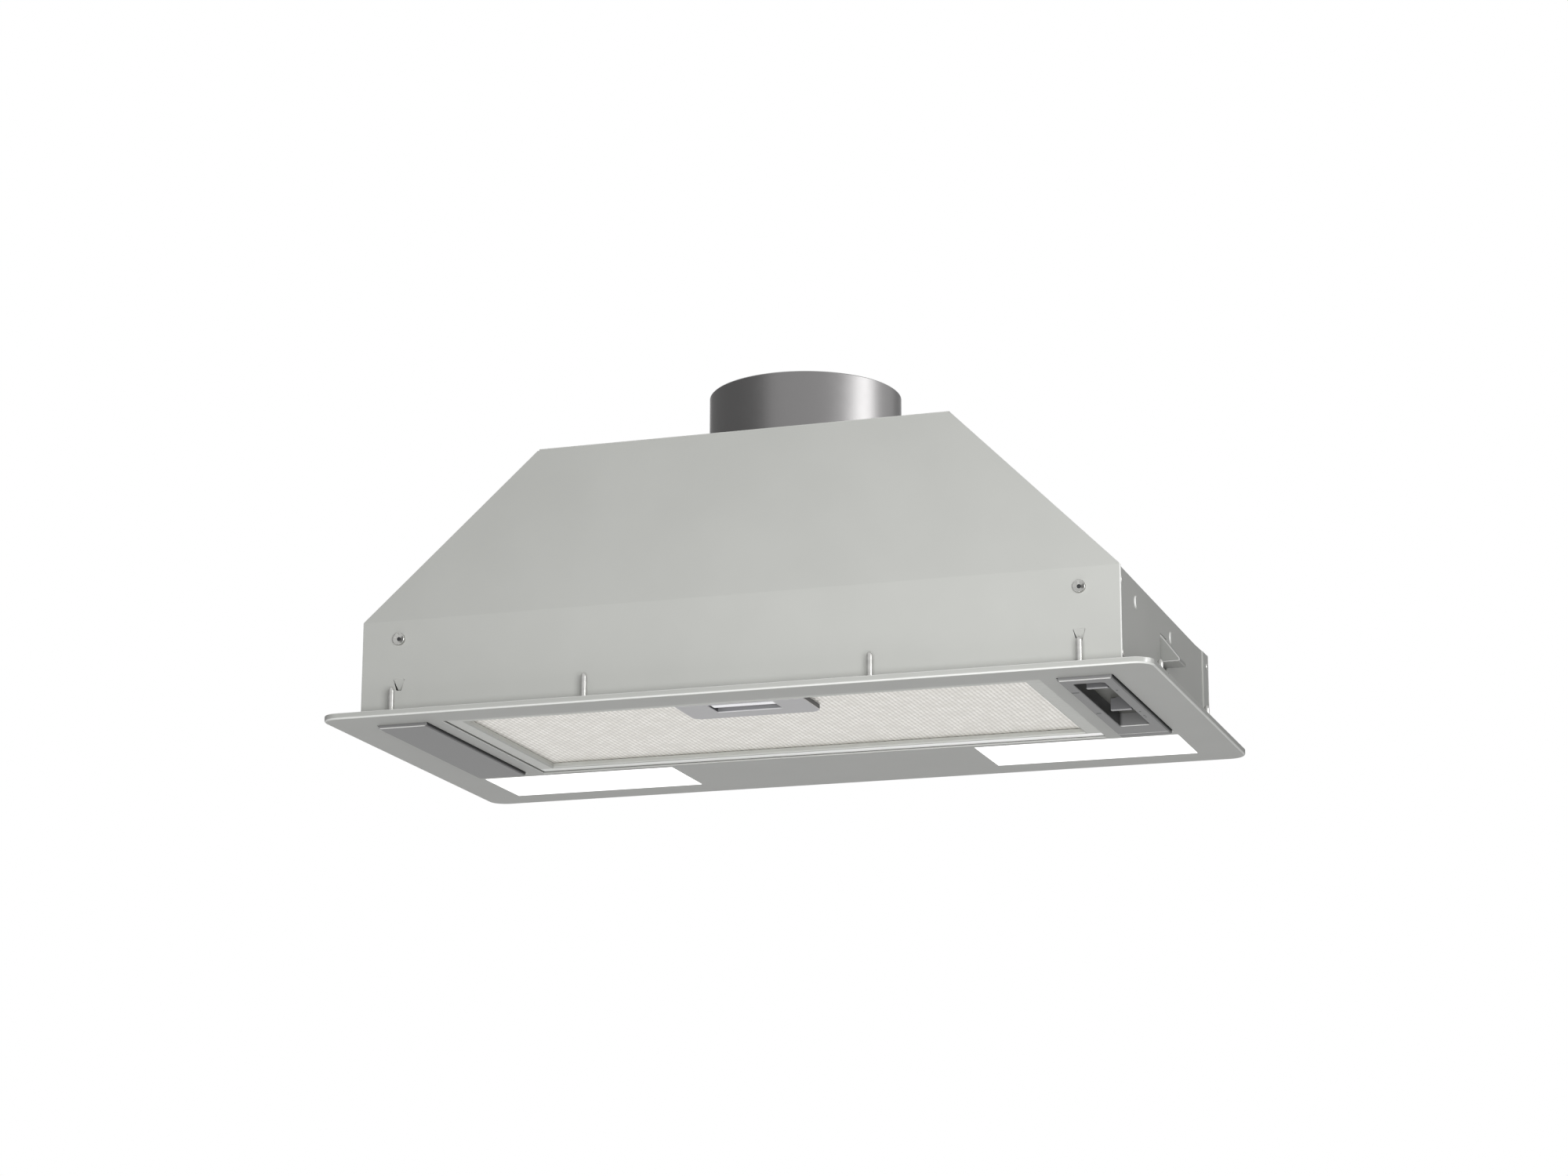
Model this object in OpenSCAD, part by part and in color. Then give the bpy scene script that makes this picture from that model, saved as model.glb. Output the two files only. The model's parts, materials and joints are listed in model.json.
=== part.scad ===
// Built-in canopy range hood with a blower, two lamps, a slide control and a swing-down grease filter.
// The front faces -Y, and the hood stands on the faces of its two plastic panels.

/* [Face plate] */
// Width of the face plate, left to right
plate_w = 525; // [515:1:600]
// Depth of the face plate, front to rear
plate_d = 284.3; // [280:0.1:320]
// Radius of the face plate's corners
corner_r = 11.5; // [6:0.5:16]
// Height of the hemmed rim round the face plate
rim_h = 4; // [3:0.5:6]
// Thickness of the hemmed rim
rim_t = 2; // [1.6:0.1:3]
// Thickness of the steel sheet
sheet_t = 1; // [0.8:0.1:1.2]

/* [Housing] */
// Overhang of the plate in front of the housing
front_overhang = 16.9; // [14:0.1:18]
// Overhang of the plate behind the housing
rear_overhang = 21; // [18:0.5:22]
// Overhang of the plate at each side of the housing
side_overhang = 20.5; // [16:0.5:22]
// Height of the upright walls above the plate's underside
wall_h = 64.2; // [60:0.1:72]
// Height of the housing's top above the plate's underside
body_h = 173.3; // [170:0.1:195]
// Width of the housing's top
top_w = 267; // [250:1:320]
// How far the upper front leans back
front_lean = 18.9; // [10:0.1:22]

/* [Duct collar] */
// Outer diameter of the duct collar
collar_d = 125; // [120:1:130]
// Height of the collar above the housing's top
collar_h = 58.5; // [57:0.5:80]
// Distance of the collar's centre behind the plate's centre
collar_y = 24.1; // [20:0.1:28]
// Wall of the collar
collar_wall = 1.2; // [1:0.1:1.5]

/* [Filter] */
// Gap between the filter opening and the lamp windows
filter_lamp_gap = 5.6; // [5:0.1:12]
// Distance from the plate's front edge to the filter opening
filter_margin = 24.9; // [24:0.1:27]
// Thickness of the filter frame
filter_t = 9; // [8:0.5:10]
// Width of the filter frame's border
filter_border = 10.5; // [9:0.5:12]
// How far the filter lies above the plate's underside
filter_recess = 1; // [0.8:0.1:1.4]

/* [Panels] */
// Width of the control panel and of the blank panel
panel_w = 32.8; // [30:0.1:34]
// How much shorter both panels are than the filter opening
panel_short = 6; // [4:0.5:10]
// How far the panels stand below the plate
panel_proud = 2; // [1:0.1:2.5]
// Distance from the plate's side edge to a panel
panel_margin = 29; // [28.5:0.1:31]
// Gap between a panel and the filter opening
panel_gap = 10.7; // [10:0.1:13]
// Width of the control slot
slot_w = 18.8; // [17:0.1:20]
// Distance from the slot's rear end to the panel's rear end
slot_rear_margin = 31; // [28:0.5:34]
// Distance from the panel's front end to the slot
slot_margin = 10; // [8:0.5:12]

/* [Lamps] */
// Width of a lamp window
lamp_w = 132; // [110:1:140]
// Depth of a lamp window
lamp_d = 59.4; // [50:0.1:60]
// Distance from the plate's side edge to a lamp window
lamp_side_margin = 28; // [28:0.5:32]
// Distance from the plate's rear edge to a lamp window
lamp_rear_margin = 25.4; // [25.2:0.1:26]

/* [Blower] */
// Gap between the fan wheel and the casing where the casing is narrowest
wheel_gap = 9; // [8:0.5:14]
// Width of the fan wheel
wheel_w = 80; // [60:1:84]
// Number of blades on the fan wheel
blade_count = 36; // [24:1:40]
// Gap between the motor and the fan blades
motor_room = 14; // [12:0.5:18]
// Diameter of the fan shaft
shaft_d = 8; // [6:0.5:9]

/* [Hidden] */

$fn = 64;
// Overrun of every cut past the face it opens
over = 0.5;
// Gap between pieces that are only set beside each other
gap = 0.3;
// Radial clearance of a pin or shaft that turns in a hole
run_fit = 0.05;
// Radial clearance of a screw or rivet in its hole
screw_fit = 0.15;
// Sweep of a pan head's rounded edge
head_arc = 60;

// Housing, worked out from the plate
front_y = -plate_d / 2 + front_overhang;
rear_y = plate_d / 2 - rear_overhang;
half_w = plate_w / 2 - side_overhang;
base_z = sheet_t;
roof_z = body_h - sheet_t;
lean_rate = front_lean / (body_h - wall_h);
slant_rate = (half_w - top_w / 2) / (body_h - wall_h);
function front_at(z) = front_y + lean_rate * max(z - wall_h, 0);
function half_at(z) = half_w - slant_rate * max(z - wall_h, 0);
// Step from the end of the front panel in to the side panel
side_inset = sheet_t + 0.2 * sheet_t;
// Sheet thickness measured level through the slanted side
slant_t = sheet_t * norm([slant_rate, 1]);
// Drop of the inner bend line below the outer one
bend_drop = sheet_t * tan(atan(slant_rate) / 2);
side_x = half_w - side_inset;
// Width of the rear panel's folds round the sides
rear_fold = 15;

// Rim of the plate
rim_round = 1.4;
rim_top_round = 0.5;
arc_steps = 5;

// Filter opening and filter, worked out from the panels' places
filter_open_w = plate_w - 2 * (panel_margin + panel_w + panel_gap);
filter_open_d = plate_d - filter_margin - filter_lamp_gap - lamp_d - lamp_rear_margin;
filter_front = -plate_d / 2 + filter_margin;
filter_rear = filter_front + filter_open_d;
filter_play = 0.7;
filter_w = filter_open_w - 2 * filter_play;
filter_y0 = filter_front + filter_play;
filter_y1 = filter_rear - filter_play;
filter_z0 = filter_recess;
filter_z1 = filter_recess + filter_t;
// Depth of the mesh above the frame's lower face
mesh_recess = 3.2;
// Thickness of each outer mesh and of the frame's upper lip
mesh_t = 0.8;
top_lip_t = 1;
frame_wall = 1;
mesh_z0 = filter_z0 + mesh_recess;
mesh_z1 = filter_z1 - top_lip_t;
core_z0 = mesh_z0 + mesh_t;
core_z1 = mesh_z1 - mesh_t;
// Width of the upper lip, narrower than the lower border
top_lip_w = 6;

// Filter hinge
hinge_inset = 4;
hinge_y = filter_y1 - hinge_inset;
hinge_z = filter_z0 + filter_t / 2;
hinge_pin_r = 2;
rail_t = 1;
rail_gap = 1.2;
rail_h = 12;
hinge_pin_out = rail_gap + rail_t + filter_play + 1.5 * sheet_t;
hinge_block = 10;

// Filter latch
latch_w = 82;
latch_d = 37.3;
latch_chamfer = 4;
latch_floor = 3.2;
latch_top = 1.2;
latch_wall = 1.6;
latch_z1 = filter_z1 + latch_top;
// How far the filter's front border is narrower than the others
front_border_less = 1.2;
latch_y0 = filter_y0 + filter_border - front_border_less;
latch_y1 = latch_y0 + latch_d;
grip_w = 40;
grip_d = 12;
grip_slot_w = 42;
grip_slot_d = 20;
grip_slot_margin = 2.3;
grip_sink = 0.8;
bolt_w = 14;
bolt_t = 2;
bolt_reach = 3.6;
bolt_lift = 0.3;
latch_body_w = 60;
latch_body_d = 20;
spring_r = 2.1;
spring_wire = 0.6;
spring_turns = 6;
spring_x = 22;
front_rail_d = 4;
front_rail_h = 3.4;

// Panels
panel_x = plate_w / 2 - panel_margin - panel_w / 2;
panel_d = filter_open_d - panel_short;
panel_y0 = filter_front + 0.3 * sheet_t;
panel_y1 = panel_y0 + panel_d;
panel_hole_gap = 0.8;
panel_flange = 2.4;
panel_flange_t = 1.5;
panel_skin = 1.6;
panel_round = 1;
strip_d = 8.5;
strip_groove = 0.5;
slot_len = panel_d - slot_margin - slot_rear_margin;
slot_y0 = panel_y0 + slot_margin;
slot_y1 = slot_y0 + slot_len;
slot_r = 2.5;
slot_wall = 1.4;
// Height of the slider track above the plate's underside
track_z = 6.6;
track_t = 1.5;
fin_w = 13;
fin_t = 3.2;
fin_sink = 0.7;
// The finger tabs sit off the slot's centre line
fin_shift = 1.5;
stem_w = 3.4;
stem_play = 0.3;
stem_h = 4.2;
shoe_w = 10;
shoe_d = 8;
shoe_t = 2;
light_start = 15.5;
light_travel = 9;
fan_travel = 24;
// Distance from the fan slider's place at rest to the slot's rear end
fan_rear_room = 44.5;
fan_start = slot_len - fan_rear_room;
switch_wall = 1.5;
switch_h = 13;
board_t = 1.6;
board_lift = 3.4;
relay_size = [12, 18, 3];

// Folds of the walls on the plate, which end short of the filter's front rail and of the panels
front_foot_w = filter_margin - front_overhang - front_rail_d - 2 * gap;
side_foot_x = plate_w / 2 - panel_margin + panel_flange + gap;

// Lamps
lamp_flange = 1.8;
lamp_flange_t = 2;
lamp_play = 0.25;
lamp_wall = 1;
lamp_box_h = 13;
lamp_board_t = 1.6;
chip_size = 3;
chip_t = 0.8;
chip_rows = 3;
chip_columns = 10;
lamp_x = plate_w / 2 - lamp_side_margin - lamp_w / 2;
lamp_y = plate_d / 2 - lamp_rear_margin - lamp_d / 2;

// Collar and damper
collar_r = collar_d / 2;
bore_r = collar_r - collar_wall;
collar_flange_w = 11.5;
collar_flange_r = collar_r + collar_flange_w;
collar_flange_t = 1.5;
collar_lip_r = 0.6;
ledge_w = 3;
ledge_t = 1.2;
ledge_z = body_h + collar_flange_t;
flap_t = 1;
flap_z = ledge_z + ledge_t + gap + flap_t / 2;
flap_play = 1;
flap_r = bore_r - flap_play;
pin_r = 1.5;
knuckle_r = 2.6;
knuckle_gap = 0.4;
knuckle_count = 6;
boss_r = 3.4;
boss_len = 4;

// Screws that hold the collar and the casing to the top
collar_screw_r = 1.9;
collar_screw_head_r = 3.6;
collar_screw_head_t = 2.2;
collar_screw_tip = 3;
collar_screw_angle = 30;
collar_screw_out = 6.5;
collar_screw_ring = collar_r + collar_screw_out;

// Blower casing: a spiral whose narrowest radius fills the room in the housing
casing_wall = 2;
casing_side_gap = 8;
casing_half = wheel_w / 2 + casing_side_gap;
casing_flange_t = 2.5;
// How far the outlet is wider than the narrowest radius
outlet_extra = 17;
// Distance of the fan's axis in front of the outlet
outlet_lead = 10.1;
scroll_growth = outlet_extra + 2 * casing_wall + outlet_lead;
// Share of the growth that is reached at the front
scroll_front_share = 0.36;
scroll_roof_gap = 3.3;
scroll_low_room = 35;
scroll_front_room = 16;
high_r0 = (roof_z - scroll_roof_gap - scroll_low_room) / 2;
deep_r0 = (collar_y - front_y - scroll_front_room - casing_wall - outlet_lead - outlet_extra / 2
           - scroll_front_share * scroll_growth) / 1.5;
scroll_r0 = min(high_r0, deep_r0);
wheel_r = scroll_r0 - wheel_gap;
outlet_d = scroll_r0 + outlet_extra;
scroll_rear = collar_y + outlet_d / 2 + casing_wall;
outlet_front = collar_y - outlet_d / 2 - casing_wall;
fan_y = outlet_front - outlet_lead;
fan_z = roof_z - scroll_r0 - scroll_roof_gap;
scroll_r1 = scroll_rear - fan_y;
tongue_angle = acos((outlet_front - fan_y) / scroll_r0);
scroll_steps = 48;
casing_flange_end = 9;
casing_flange_w = collar_screw_ring * cos(collar_screw_angle) + casing_flange_end;
casing_flange_d = 12;
lug_r = 5;
lug_len = 9;
lug_angles = [140, 230, 320];
lug_screw_r = 1.8;
lug_screw_head_r = 3.6;
// How far the inlet is smaller than the wheel
inlet_less = 13;
inlet_r = wheel_r - inlet_less;
inlet_lip = 10;
inlet_depth = 6;

// Fan wheel
blade_depth = 11;
blade_t = 1;
blade_steps = 5;
blade_turn = 26;
wheel_ring_t = 2;
hub_disc_t = 2;
hub_r = 10;
hub_len = 15;
shaft_r = shaft_d / 2;

// Motor
motor_r = wheel_r - blade_depth - motor_room;
motor_out = 12;
motor_hub_gap = 5;
motor_x0 = -casing_half - motor_out;
motor_x1 = -hub_disc_t / 2 - motor_hub_gap;
can_wall = 1.6;
cap_t = 5;
stator_bore_share = 0.55;
stator_bore = motor_r * stator_bore_share;
stator_len = 34;
stator_slots = 12;
slot_cut_w = 3;
slot_depth_share = 0.6;
slot_cut_d = (motor_r - can_wall - stator_bore) * slot_depth_share;
armature_gap = 0.5;
bearing_r = 8;
bearing_len = 8;
arm_w = 14;
arm_t = 2.5;
mount_ear_r = 8.5;
mount_ring_out = 11;
mount_ring_r = inlet_r + inlet_lip + mount_ring_out;
mount_angles = [60, 180, 300];
rubber_r = 7;
motor_screw_r = 2;
motor_screw_head_r = 4;
motor_screw_head_t = 2.4;

// Electrical parts
capacitor_r = 15;
capacitor_len = 52;
capacitor_front = 65.25;
capacitor_y = front_y + capacitor_front;
capacitor_z = 32;
strap_t = 1;
strap_w = 14;
strap_ear = 9;
driver_size = [110, 30, 34];
driver_z = 34;
terminal_size = [46, 40, 34];
terminal_x = 96;
// Room above the terminal box, under the top
terminal_drop = 20.3;
terminal_z = roof_z - terminal_drop - terminal_size[2];
terminal_wall = 1.8;
block_size = [32, 16, 12];
block_hole_r = 2.4;
gland_r = 8;
gland_hex_r = 11;
gland_hex_t = 6;
gland_dome_h = 10;
gland_bore_r = 4;
gland_below = 9;

// Fasteners and small fittings on the walls
front_screw_inset = 25;
front_screw_drop = 11.9;
front_screw_x = half_w - front_screw_inset;
front_screw_z = wall_h - front_screw_drop;
front_screw_r = 2;
front_screw_head_r = 4;
front_screw_head_t = 2.4;
front_screw_len = 9;
bracket_leg = 36;
bracket_side_leg = 16;
bracket_z0 = 8;
rivet_r = 1.2;
rivet_head_r = 2.2;
rivet_head_t = 0.8;
rivet_inset = 5;
front_rivet_low = 12;
rear_rivet_low = 28;
rivet_drop = 8.2;
front_rivet_z = [front_rivet_low, wall_h - rivet_drop];
rear_rivet_z = [rear_rivet_low, wall_h - rivet_drop];
tab_top_w = 7;
tab_bottom_w = 3;
tab_top_z = 26.7;
tab_h = 6.7;
tab_tilt = 24;
tab_inset = 25.5;
tab_x = half_w - tab_inset;
locating_pin_r = 1.85;
locating_pin_h = 19.5;
locating_tip_h = 3;
locating_inset = 9.2;
locating_side_inset = 12;
locating_end_inset = 24;
locating_pitch = 127.3;
locating_outer_x = half_w - locating_end_inset;
locating_inner_x = locating_outer_x - locating_pitch;
locating_from_front = 63.25;
locating_from_rear = 50.15;
locating_side_y = [front_y + locating_from_front, rear_y - locating_from_rear];
dimple_r = 4.6;
dimple_h = 0.8;
dimple_drop = 12.8;
dimple_z = wall_h - dimple_drop;
dimple_from_front = 44.25;
dimple_from_rear = 106.65;
dimple_y = [front_y + dimple_from_front, rear_y - dimple_from_rear];

// Side clips
clip_w = 18.5;
clip_y = -6.3;
clip_out = 11.7;
clip_low = 29.8;
clip_high = 47.5;
clip_play = 0.6;
// Room that the clip's lower edge needs below it while the clip swings in
clip_drop = 2.1;
clip_pin_r = 1.2;
clip_knuckle_r = 1.8;
clip_ear_r = clip_knuckle_r + gap;
clip_axis_drop = 7.2;
clip_axis_z = wall_h - clip_axis_drop;
clip_strap_w = 12;
clip_ear_t = 2;
clip_hole_r = 1.4;
clip_screw_y = 1;
clip_screw_z = 24.2;
clip_screw_r = 1.5;
clip_screw_len = 5;
clip_screw_head_r = 2.7;
clip_screw_head_t = 1.8;
clip_stop_w = 12;
clip_stop_h = 5.6;

// Points of an arc, for outlines
function arc(x, y, r, from, to, steps) =
    [for (i = [0:steps]) let (a = from + (to - from) * i / steps) [x + r * cos(a), y + r * sin(a)]];

module place() translate([0, 0, panel_proud]) children();
// Lays a flat outline in the Y-Z plane, with its thickness along X
module facing_x() rotate([90, 0, 90]) children();
// Lays a flat outline in the X-Z plane, with its thickness centred along Y
module facing_y() rotate([90, 0, 0]) children();
module both_sides() {
    children();
    mirror([1, 0, 0]) children();
}
module block(low, high) translate(low) cube(high - low);
module rod_x(r, from, to, y, z) translate([from, y, z]) rotate([0, 90, 0]) cylinder(r = r, h = to - from);
module rod_y(r, from, to, x, z) translate([x, to, z]) rotate([90, 0, 0]) cylinder(r = r, h = to - from);
module rod_z(r, from, to, x, y) translate([x, y, from]) cylinder(r = r, h = to - from);
module prism(low, high) translate([0, 0, low]) linear_extrude(high - low) children();
module rounded_slab(w, d, r, low, high) {
    block([-w / 2 + r, -d / 2, low], [w / 2 - r, d / 2, high]);
    block([-w / 2, -d / 2 + r, low], [w / 2, d / 2 - r, high]);
    for (x = [-w / 2 + r, w / 2 - r])
        for (y = [-d / 2 + r, d / 2 - r])
            rod_z(r, low, high, x, y);
}
// Pan head screw that points along -Z, with the head's underside at z = 0
module pan_screw(r, len, head_r, head_t) {
    rotate_extrude() polygon(concat(
        [[0, -len]], [[r * 0.4, -len]], [[r, -len + r]], [[r, 0]], [[head_r, 0]],
        arc(head_r - head_t, 0, head_t, 0, head_arc, arc_steps),
        [[head_r * 0.3, head_t * 0.87]], [[head_r * 0.3, head_t * 0.4]], [[0, head_t * 0.4]]));
}

// Face plate

function rim_outline() = concat(
    [[-rim_t, 0]],
    arc(-rim_round, rim_round, rim_round, 270, 360, arc_steps),
    arc(-rim_top_round, rim_h - rim_top_round, rim_top_round, 0, 90, arc_steps),
    [[-rim_t, rim_h]]);
module rim_side(reach, len)
    translate([reach, 0, 0]) facing_y() linear_extrude(len, center = true) polygon(rim_outline());
module rim_corner()
    translate([plate_w / 2 - corner_r, plate_d / 2 - corner_r, 0])
        rotate_extrude(angle = 90) translate([corner_r, 0]) polygon(rim_outline());
module plate_openings() {
    block([-filter_open_w / 2, filter_front, -over], [filter_open_w / 2, filter_rear, sheet_t + over]);
    both_sides() {
        block([panel_x - panel_w / 2 - panel_hole_gap, panel_y0 - panel_hole_gap, -over],
              [panel_x + panel_w / 2 + panel_hole_gap, panel_y1 + panel_hole_gap, sheet_t + over]);
        block([lamp_x - lamp_w / 2, lamp_y - lamp_d / 2, -over],
              [lamp_x + lamp_w / 2, lamp_y + lamp_d / 2, sheet_t + over]);
    }
}
module face_plate() color("#9b9b97") {
    difference() {
        rounded_slab(plate_w - 2 * rim_round, plate_d - 2 * rim_round, corner_r - rim_round, 0, sheet_t);
        plate_openings();
    }
    for (turn = [0, 180]) rotate([0, 0, turn]) {
        rim_side(plate_w / 2, plate_d - 2 * corner_r);
        rotate([0, 0, 90]) rim_side(plate_d / 2, plate_w - 2 * corner_r);
        rim_corner();
        mirror([1, 0, 0]) rim_corner();
    }
}

// Sheet steel walls

module wall_outline(inset, low) polygon([
    [-half_w + inset, low], [half_w - inset, low], [half_w - inset, wall_h],
    [half_at(roof_z) - inset, roof_z], [-half_at(roof_z) + inset, roof_z], [-half_w + inset, wall_h]]);
module front_screw_holes()
    both_sides() rod_y(front_screw_r + screw_fit, front_y - over, front_y + 2 * sheet_t + over,
                       front_screw_x, front_screw_z);
module tab_outline(extra) polygon([
    [-tab_top_w / 2 - extra, 0], [tab_top_w / 2 + extra, 0],
    [tab_bottom_w / 2 + extra, -tab_h - extra], [-tab_bottom_w / 2 - extra, -tab_h - extra]]);
module front_panel() color("#c3c4c0") {
    difference() {
        intersection() {
            facing_x() linear_extrude(2 * half_w, center = true) polygon([
                [front_y, base_z], [front_y + sheet_t, base_z], [front_y + sheet_t, wall_h],
                [front_at(roof_z) + sheet_t, roof_z], [front_at(roof_z), roof_z], [front_y, wall_h]]);
            facing_y() linear_extrude(plate_d, center = true) wall_outline(0, base_z);
        }
        front_screw_holes();
        both_sides() translate([tab_x, front_y + sheet_t / 2, tab_top_z])
            facing_y() linear_extrude(2 * sheet_t, center = true) tab_outline(gap);
    }
    both_sides() translate([tab_x, front_y, tab_top_z]) rotate([tab_tilt, 0, 0])
        translate([0, sheet_t / 2, 0]) facing_y() linear_extrude(sheet_t, center = true) {
            tab_outline(0);
            translate([-tab_top_w / 2, 0]) square([tab_top_w, sheet_t / 3]);
        }
    block([-side_foot_x, front_y, base_z], [side_foot_x, front_y + front_foot_w, base_z + sheet_t]);
}
module rear_panel() color("#b9bab6") {
    difference() {
        union() {
            translate([0, rear_y - sheet_t / 2, 0])
                facing_y() linear_extrude(sheet_t, center = true) wall_outline(0, base_z);
            both_sides() block([side_x, rear_y - rear_fold, base_z], [side_x + sheet_t, rear_y, wall_h]);
        }
        rivet_places(rear_y - rivet_inset, rear_rivet_z) rivet_hole();
    }
}
module side_sheet() {
    difference() {
        intersection() {
            facing_y() linear_extrude(plate_d, center = true) polygon([
                [side_x, base_z], [side_x, wall_h], [half_at(roof_z) - side_inset, roof_z],
                [half_at(roof_z) - side_inset - slant_t, roof_z],
                [side_x - sheet_t, wall_h - bend_drop], [side_x - sheet_t, base_z]]);
            facing_x() linear_extrude(plate_w, center = true) polygon([
                [front_y + sheet_t, base_z], [front_y + sheet_t, wall_h],
                [front_at(roof_z) + sheet_t, roof_z],
                [rear_y - sheet_t, roof_z], [rear_y - sheet_t, base_z]]);
        }
        block([side_x - 2 * sheet_t, clip_y - clip_w / 2 - clip_play, clip_low - clip_drop],
              [side_x + over, clip_y + clip_w / 2 + clip_play, clip_high + clip_play]);
        for (z = front_rivet_z)
            rod_x(rivet_r + screw_fit, side_x - sheet_t - over, side_x + over,
                  front_y + sheet_t + rivet_inset, z);
        for (z = rear_rivet_z)
            rod_x(rivet_r + screw_fit, side_x - sheet_t - over, side_x + over, rear_y - rivet_inset, z);
        clip_screw_place()
            rod_x(clip_screw_r + screw_fit, -sheet_t - over, over, 0, 0);
    }
    block([side_foot_x, front_y + front_foot_w + gap, base_z],
          [side_x - sheet_t / 2, lamp_y - lamp_d / 2 - lamp_flange - lamp_wall - 2 * gap,
           base_z + sheet_t]);
    for (y = dimple_y) translate([side_x, y, dimple_z]) rotate([0, 90, 0])
        cylinder(r1 = dimple_r, r2 = dimple_r - dimple_h, h = dimple_h);
}
module side_panel_right() color("#949492") side_sheet();
module side_panel_left() color("#949492") mirror([1, 0, 0]) side_sheet();
module top_panel() color("#bdbeba") {
    difference() {
        block([-half_at(body_h), front_at(body_h), roof_z], [half_at(body_h), rear_y, body_h]);
        rod_z(bore_r, roof_z - over, body_h + over, 0, collar_y);
        collar_screw_places() rod_z(collar_screw_r + screw_fit, roof_z - over, body_h + over, 0, 0);
        rod_z(gland_r + screw_fit, roof_z - over, body_h + over, terminal_x, gland_y());
    }
}

// Fasteners and fittings of the walls

module rivet_hole() rod_x(rivet_r + screw_fit, -3 * sheet_t, 3 * sheet_t, 0, 0);
module rivet_places(y, heights)
    both_sides() for (z = heights) translate([side_x, y, z]) children();
module rivet(face, grip) {
    rod_x(rivet_head_r, face, face + rivet_head_t, 0, 0);
    rod_x(rivet_r, face - grip, face, 0, 0);
}
module body_rivets() color("#d8d8d6") {
    rivet_places(front_y + sheet_t + rivet_inset, front_rivet_z) rivet(0, 3 * sheet_t);
    rivet_places(rear_y - rivet_inset, rear_rivet_z) rivet(sheet_t, 3 * sheet_t);
}
module corner_bracket() {
    face_y = front_y + sheet_t;
    face_x = side_x - sheet_t;
    difference() {
        union() {
            block([face_x - bracket_leg, face_y, bracket_z0],
                  [face_x, face_y + sheet_t, wall_h - 2 * sheet_t]);
            block([face_x - sheet_t, face_y, bracket_z0],
                  [face_x, face_y + bracket_side_leg, wall_h - 2 * sheet_t]);
        }
        rod_y(front_screw_r + screw_fit, face_y - over, face_y + 2 * sheet_t,
              front_screw_x, front_screw_z);
        block([tab_x - tab_top_w, face_y - over, tab_top_z - 2 * tab_h],
              [tab_x + tab_top_w, face_y + sheet_t + over, tab_top_z + sheet_t]);
        for (z = front_rivet_z)
            rod_x(rivet_r + screw_fit, face_x - 2 * sheet_t, face_x + over, face_y + rivet_inset, z);
    }
}
module corner_brackets() color("#a8a9a6") both_sides() corner_bracket();
module front_screws() color("#c9c9c6")
    both_sides() translate([front_screw_x, front_y, front_screw_z]) rotate([90, 0, 0])
        pan_screw(front_screw_r, front_screw_len, front_screw_head_r, front_screw_head_t);
module locating_pin()
    rotate_extrude() polygon([
        [0, 0], [locating_pin_r, 0], [locating_pin_r, locating_pin_h - locating_tip_h],
        [locating_pin_r * 0.3, locating_pin_h], [0, locating_pin_h]]);
module locating_pins() color("#c8c8c4") both_sides() {
    for (x = [locating_inner_x, locating_outer_x])
        for (y = [-plate_d / 2 + locating_inset, plate_d / 2 - locating_inset])
            translate([x, y, sheet_t]) locating_pin();
    for (y = locating_side_y)
        translate([plate_w / 2 - locating_side_inset, y, sheet_t]) locating_pin();
}

// Spring clips in the side walls, which hold the hood up on the cut-out's edge

clip_axis_x = side_x - sheet_t - clip_ear_r;
strap_x0 = clip_axis_x - sheet_t / 2;
strap_x1 = clip_axis_x + sheet_t / 2;
module clip_screw_place() translate([side_x, clip_screw_y, clip_screw_z]) children();
module clip_body() {
    translate([0, clip_y, 0]) difference() {
        facing_y() linear_extrude(clip_w, center = true) polygon([
            [strap_x0, clip_high], [side_x, clip_high],
            [side_x + clip_out, clip_low + 2 * sheet_t], [side_x + clip_out, clip_low],
            [strap_x0, clip_low]]);
        facing_y() linear_extrude(clip_w - 2 * sheet_t, center = true) polygon([
            [strap_x0 - over, clip_high - sheet_t], [side_x - sheet_t / 2, clip_high - sheet_t],
            [side_x + clip_out - sheet_t, clip_low + 2 * sheet_t],
            [side_x + clip_out - sheet_t, clip_low + sheet_t], [strap_x0 - over, clip_low + sheet_t]]);
        rod_y(clip_hole_r, -clip_w, clip_w, side_x + clip_out / 2, clip_low + clip_out / 2);
    }
    block([strap_x0, clip_y - clip_strap_w / 2, clip_high - sheet_t],
          [strap_x1, clip_y + clip_strap_w / 2, clip_axis_z]);
    rod_y(clip_knuckle_r, clip_y - clip_strap_w / 2, clip_y + clip_strap_w / 2, clip_axis_x, clip_axis_z);
    rod_y(clip_pin_r, clip_y - clip_strap_w / 2 - clip_ear_t - 2 * gap,
          clip_y + clip_strap_w / 2 + clip_ear_t + 2 * gap, clip_axis_x, clip_axis_z);
}
module side_clip_right() color("#a9a9a6") clip_body();
module side_clip_left() color("#a9a9a6") mirror([1, 0, 0]) clip_body();
module clip_ear(y)
    difference() {
        union() {
            rod_y(clip_ear_r, y, y + clip_ear_t, clip_axis_x, clip_axis_z);
            block([clip_axis_x, y, clip_axis_z - clip_ear_r],
                  [side_x - sheet_t, y + clip_ear_t, clip_axis_z + clip_ear_r]);
        }
        rod_y(clip_pin_r + run_fit, y - over, y + clip_ear_t + over, clip_axis_x, clip_axis_z);
    }
module clip_stop() clip_screw_place() difference() {
    block([-2 * sheet_t, -clip_stop_w / 2, -clip_stop_h / 2],
          [-sheet_t, clip_stop_w / 2, clip_stop_h / 2]);
    rod_x(clip_screw_r + screw_fit, -3 * sheet_t, 0, 0, 0);
}
module clip_brackets() color("#a8a9a6") both_sides() {
    clip_ear(clip_y - clip_strap_w / 2 - gap - clip_ear_t);
    clip_ear(clip_y + clip_strap_w / 2 + gap);
    clip_stop();
}
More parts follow.
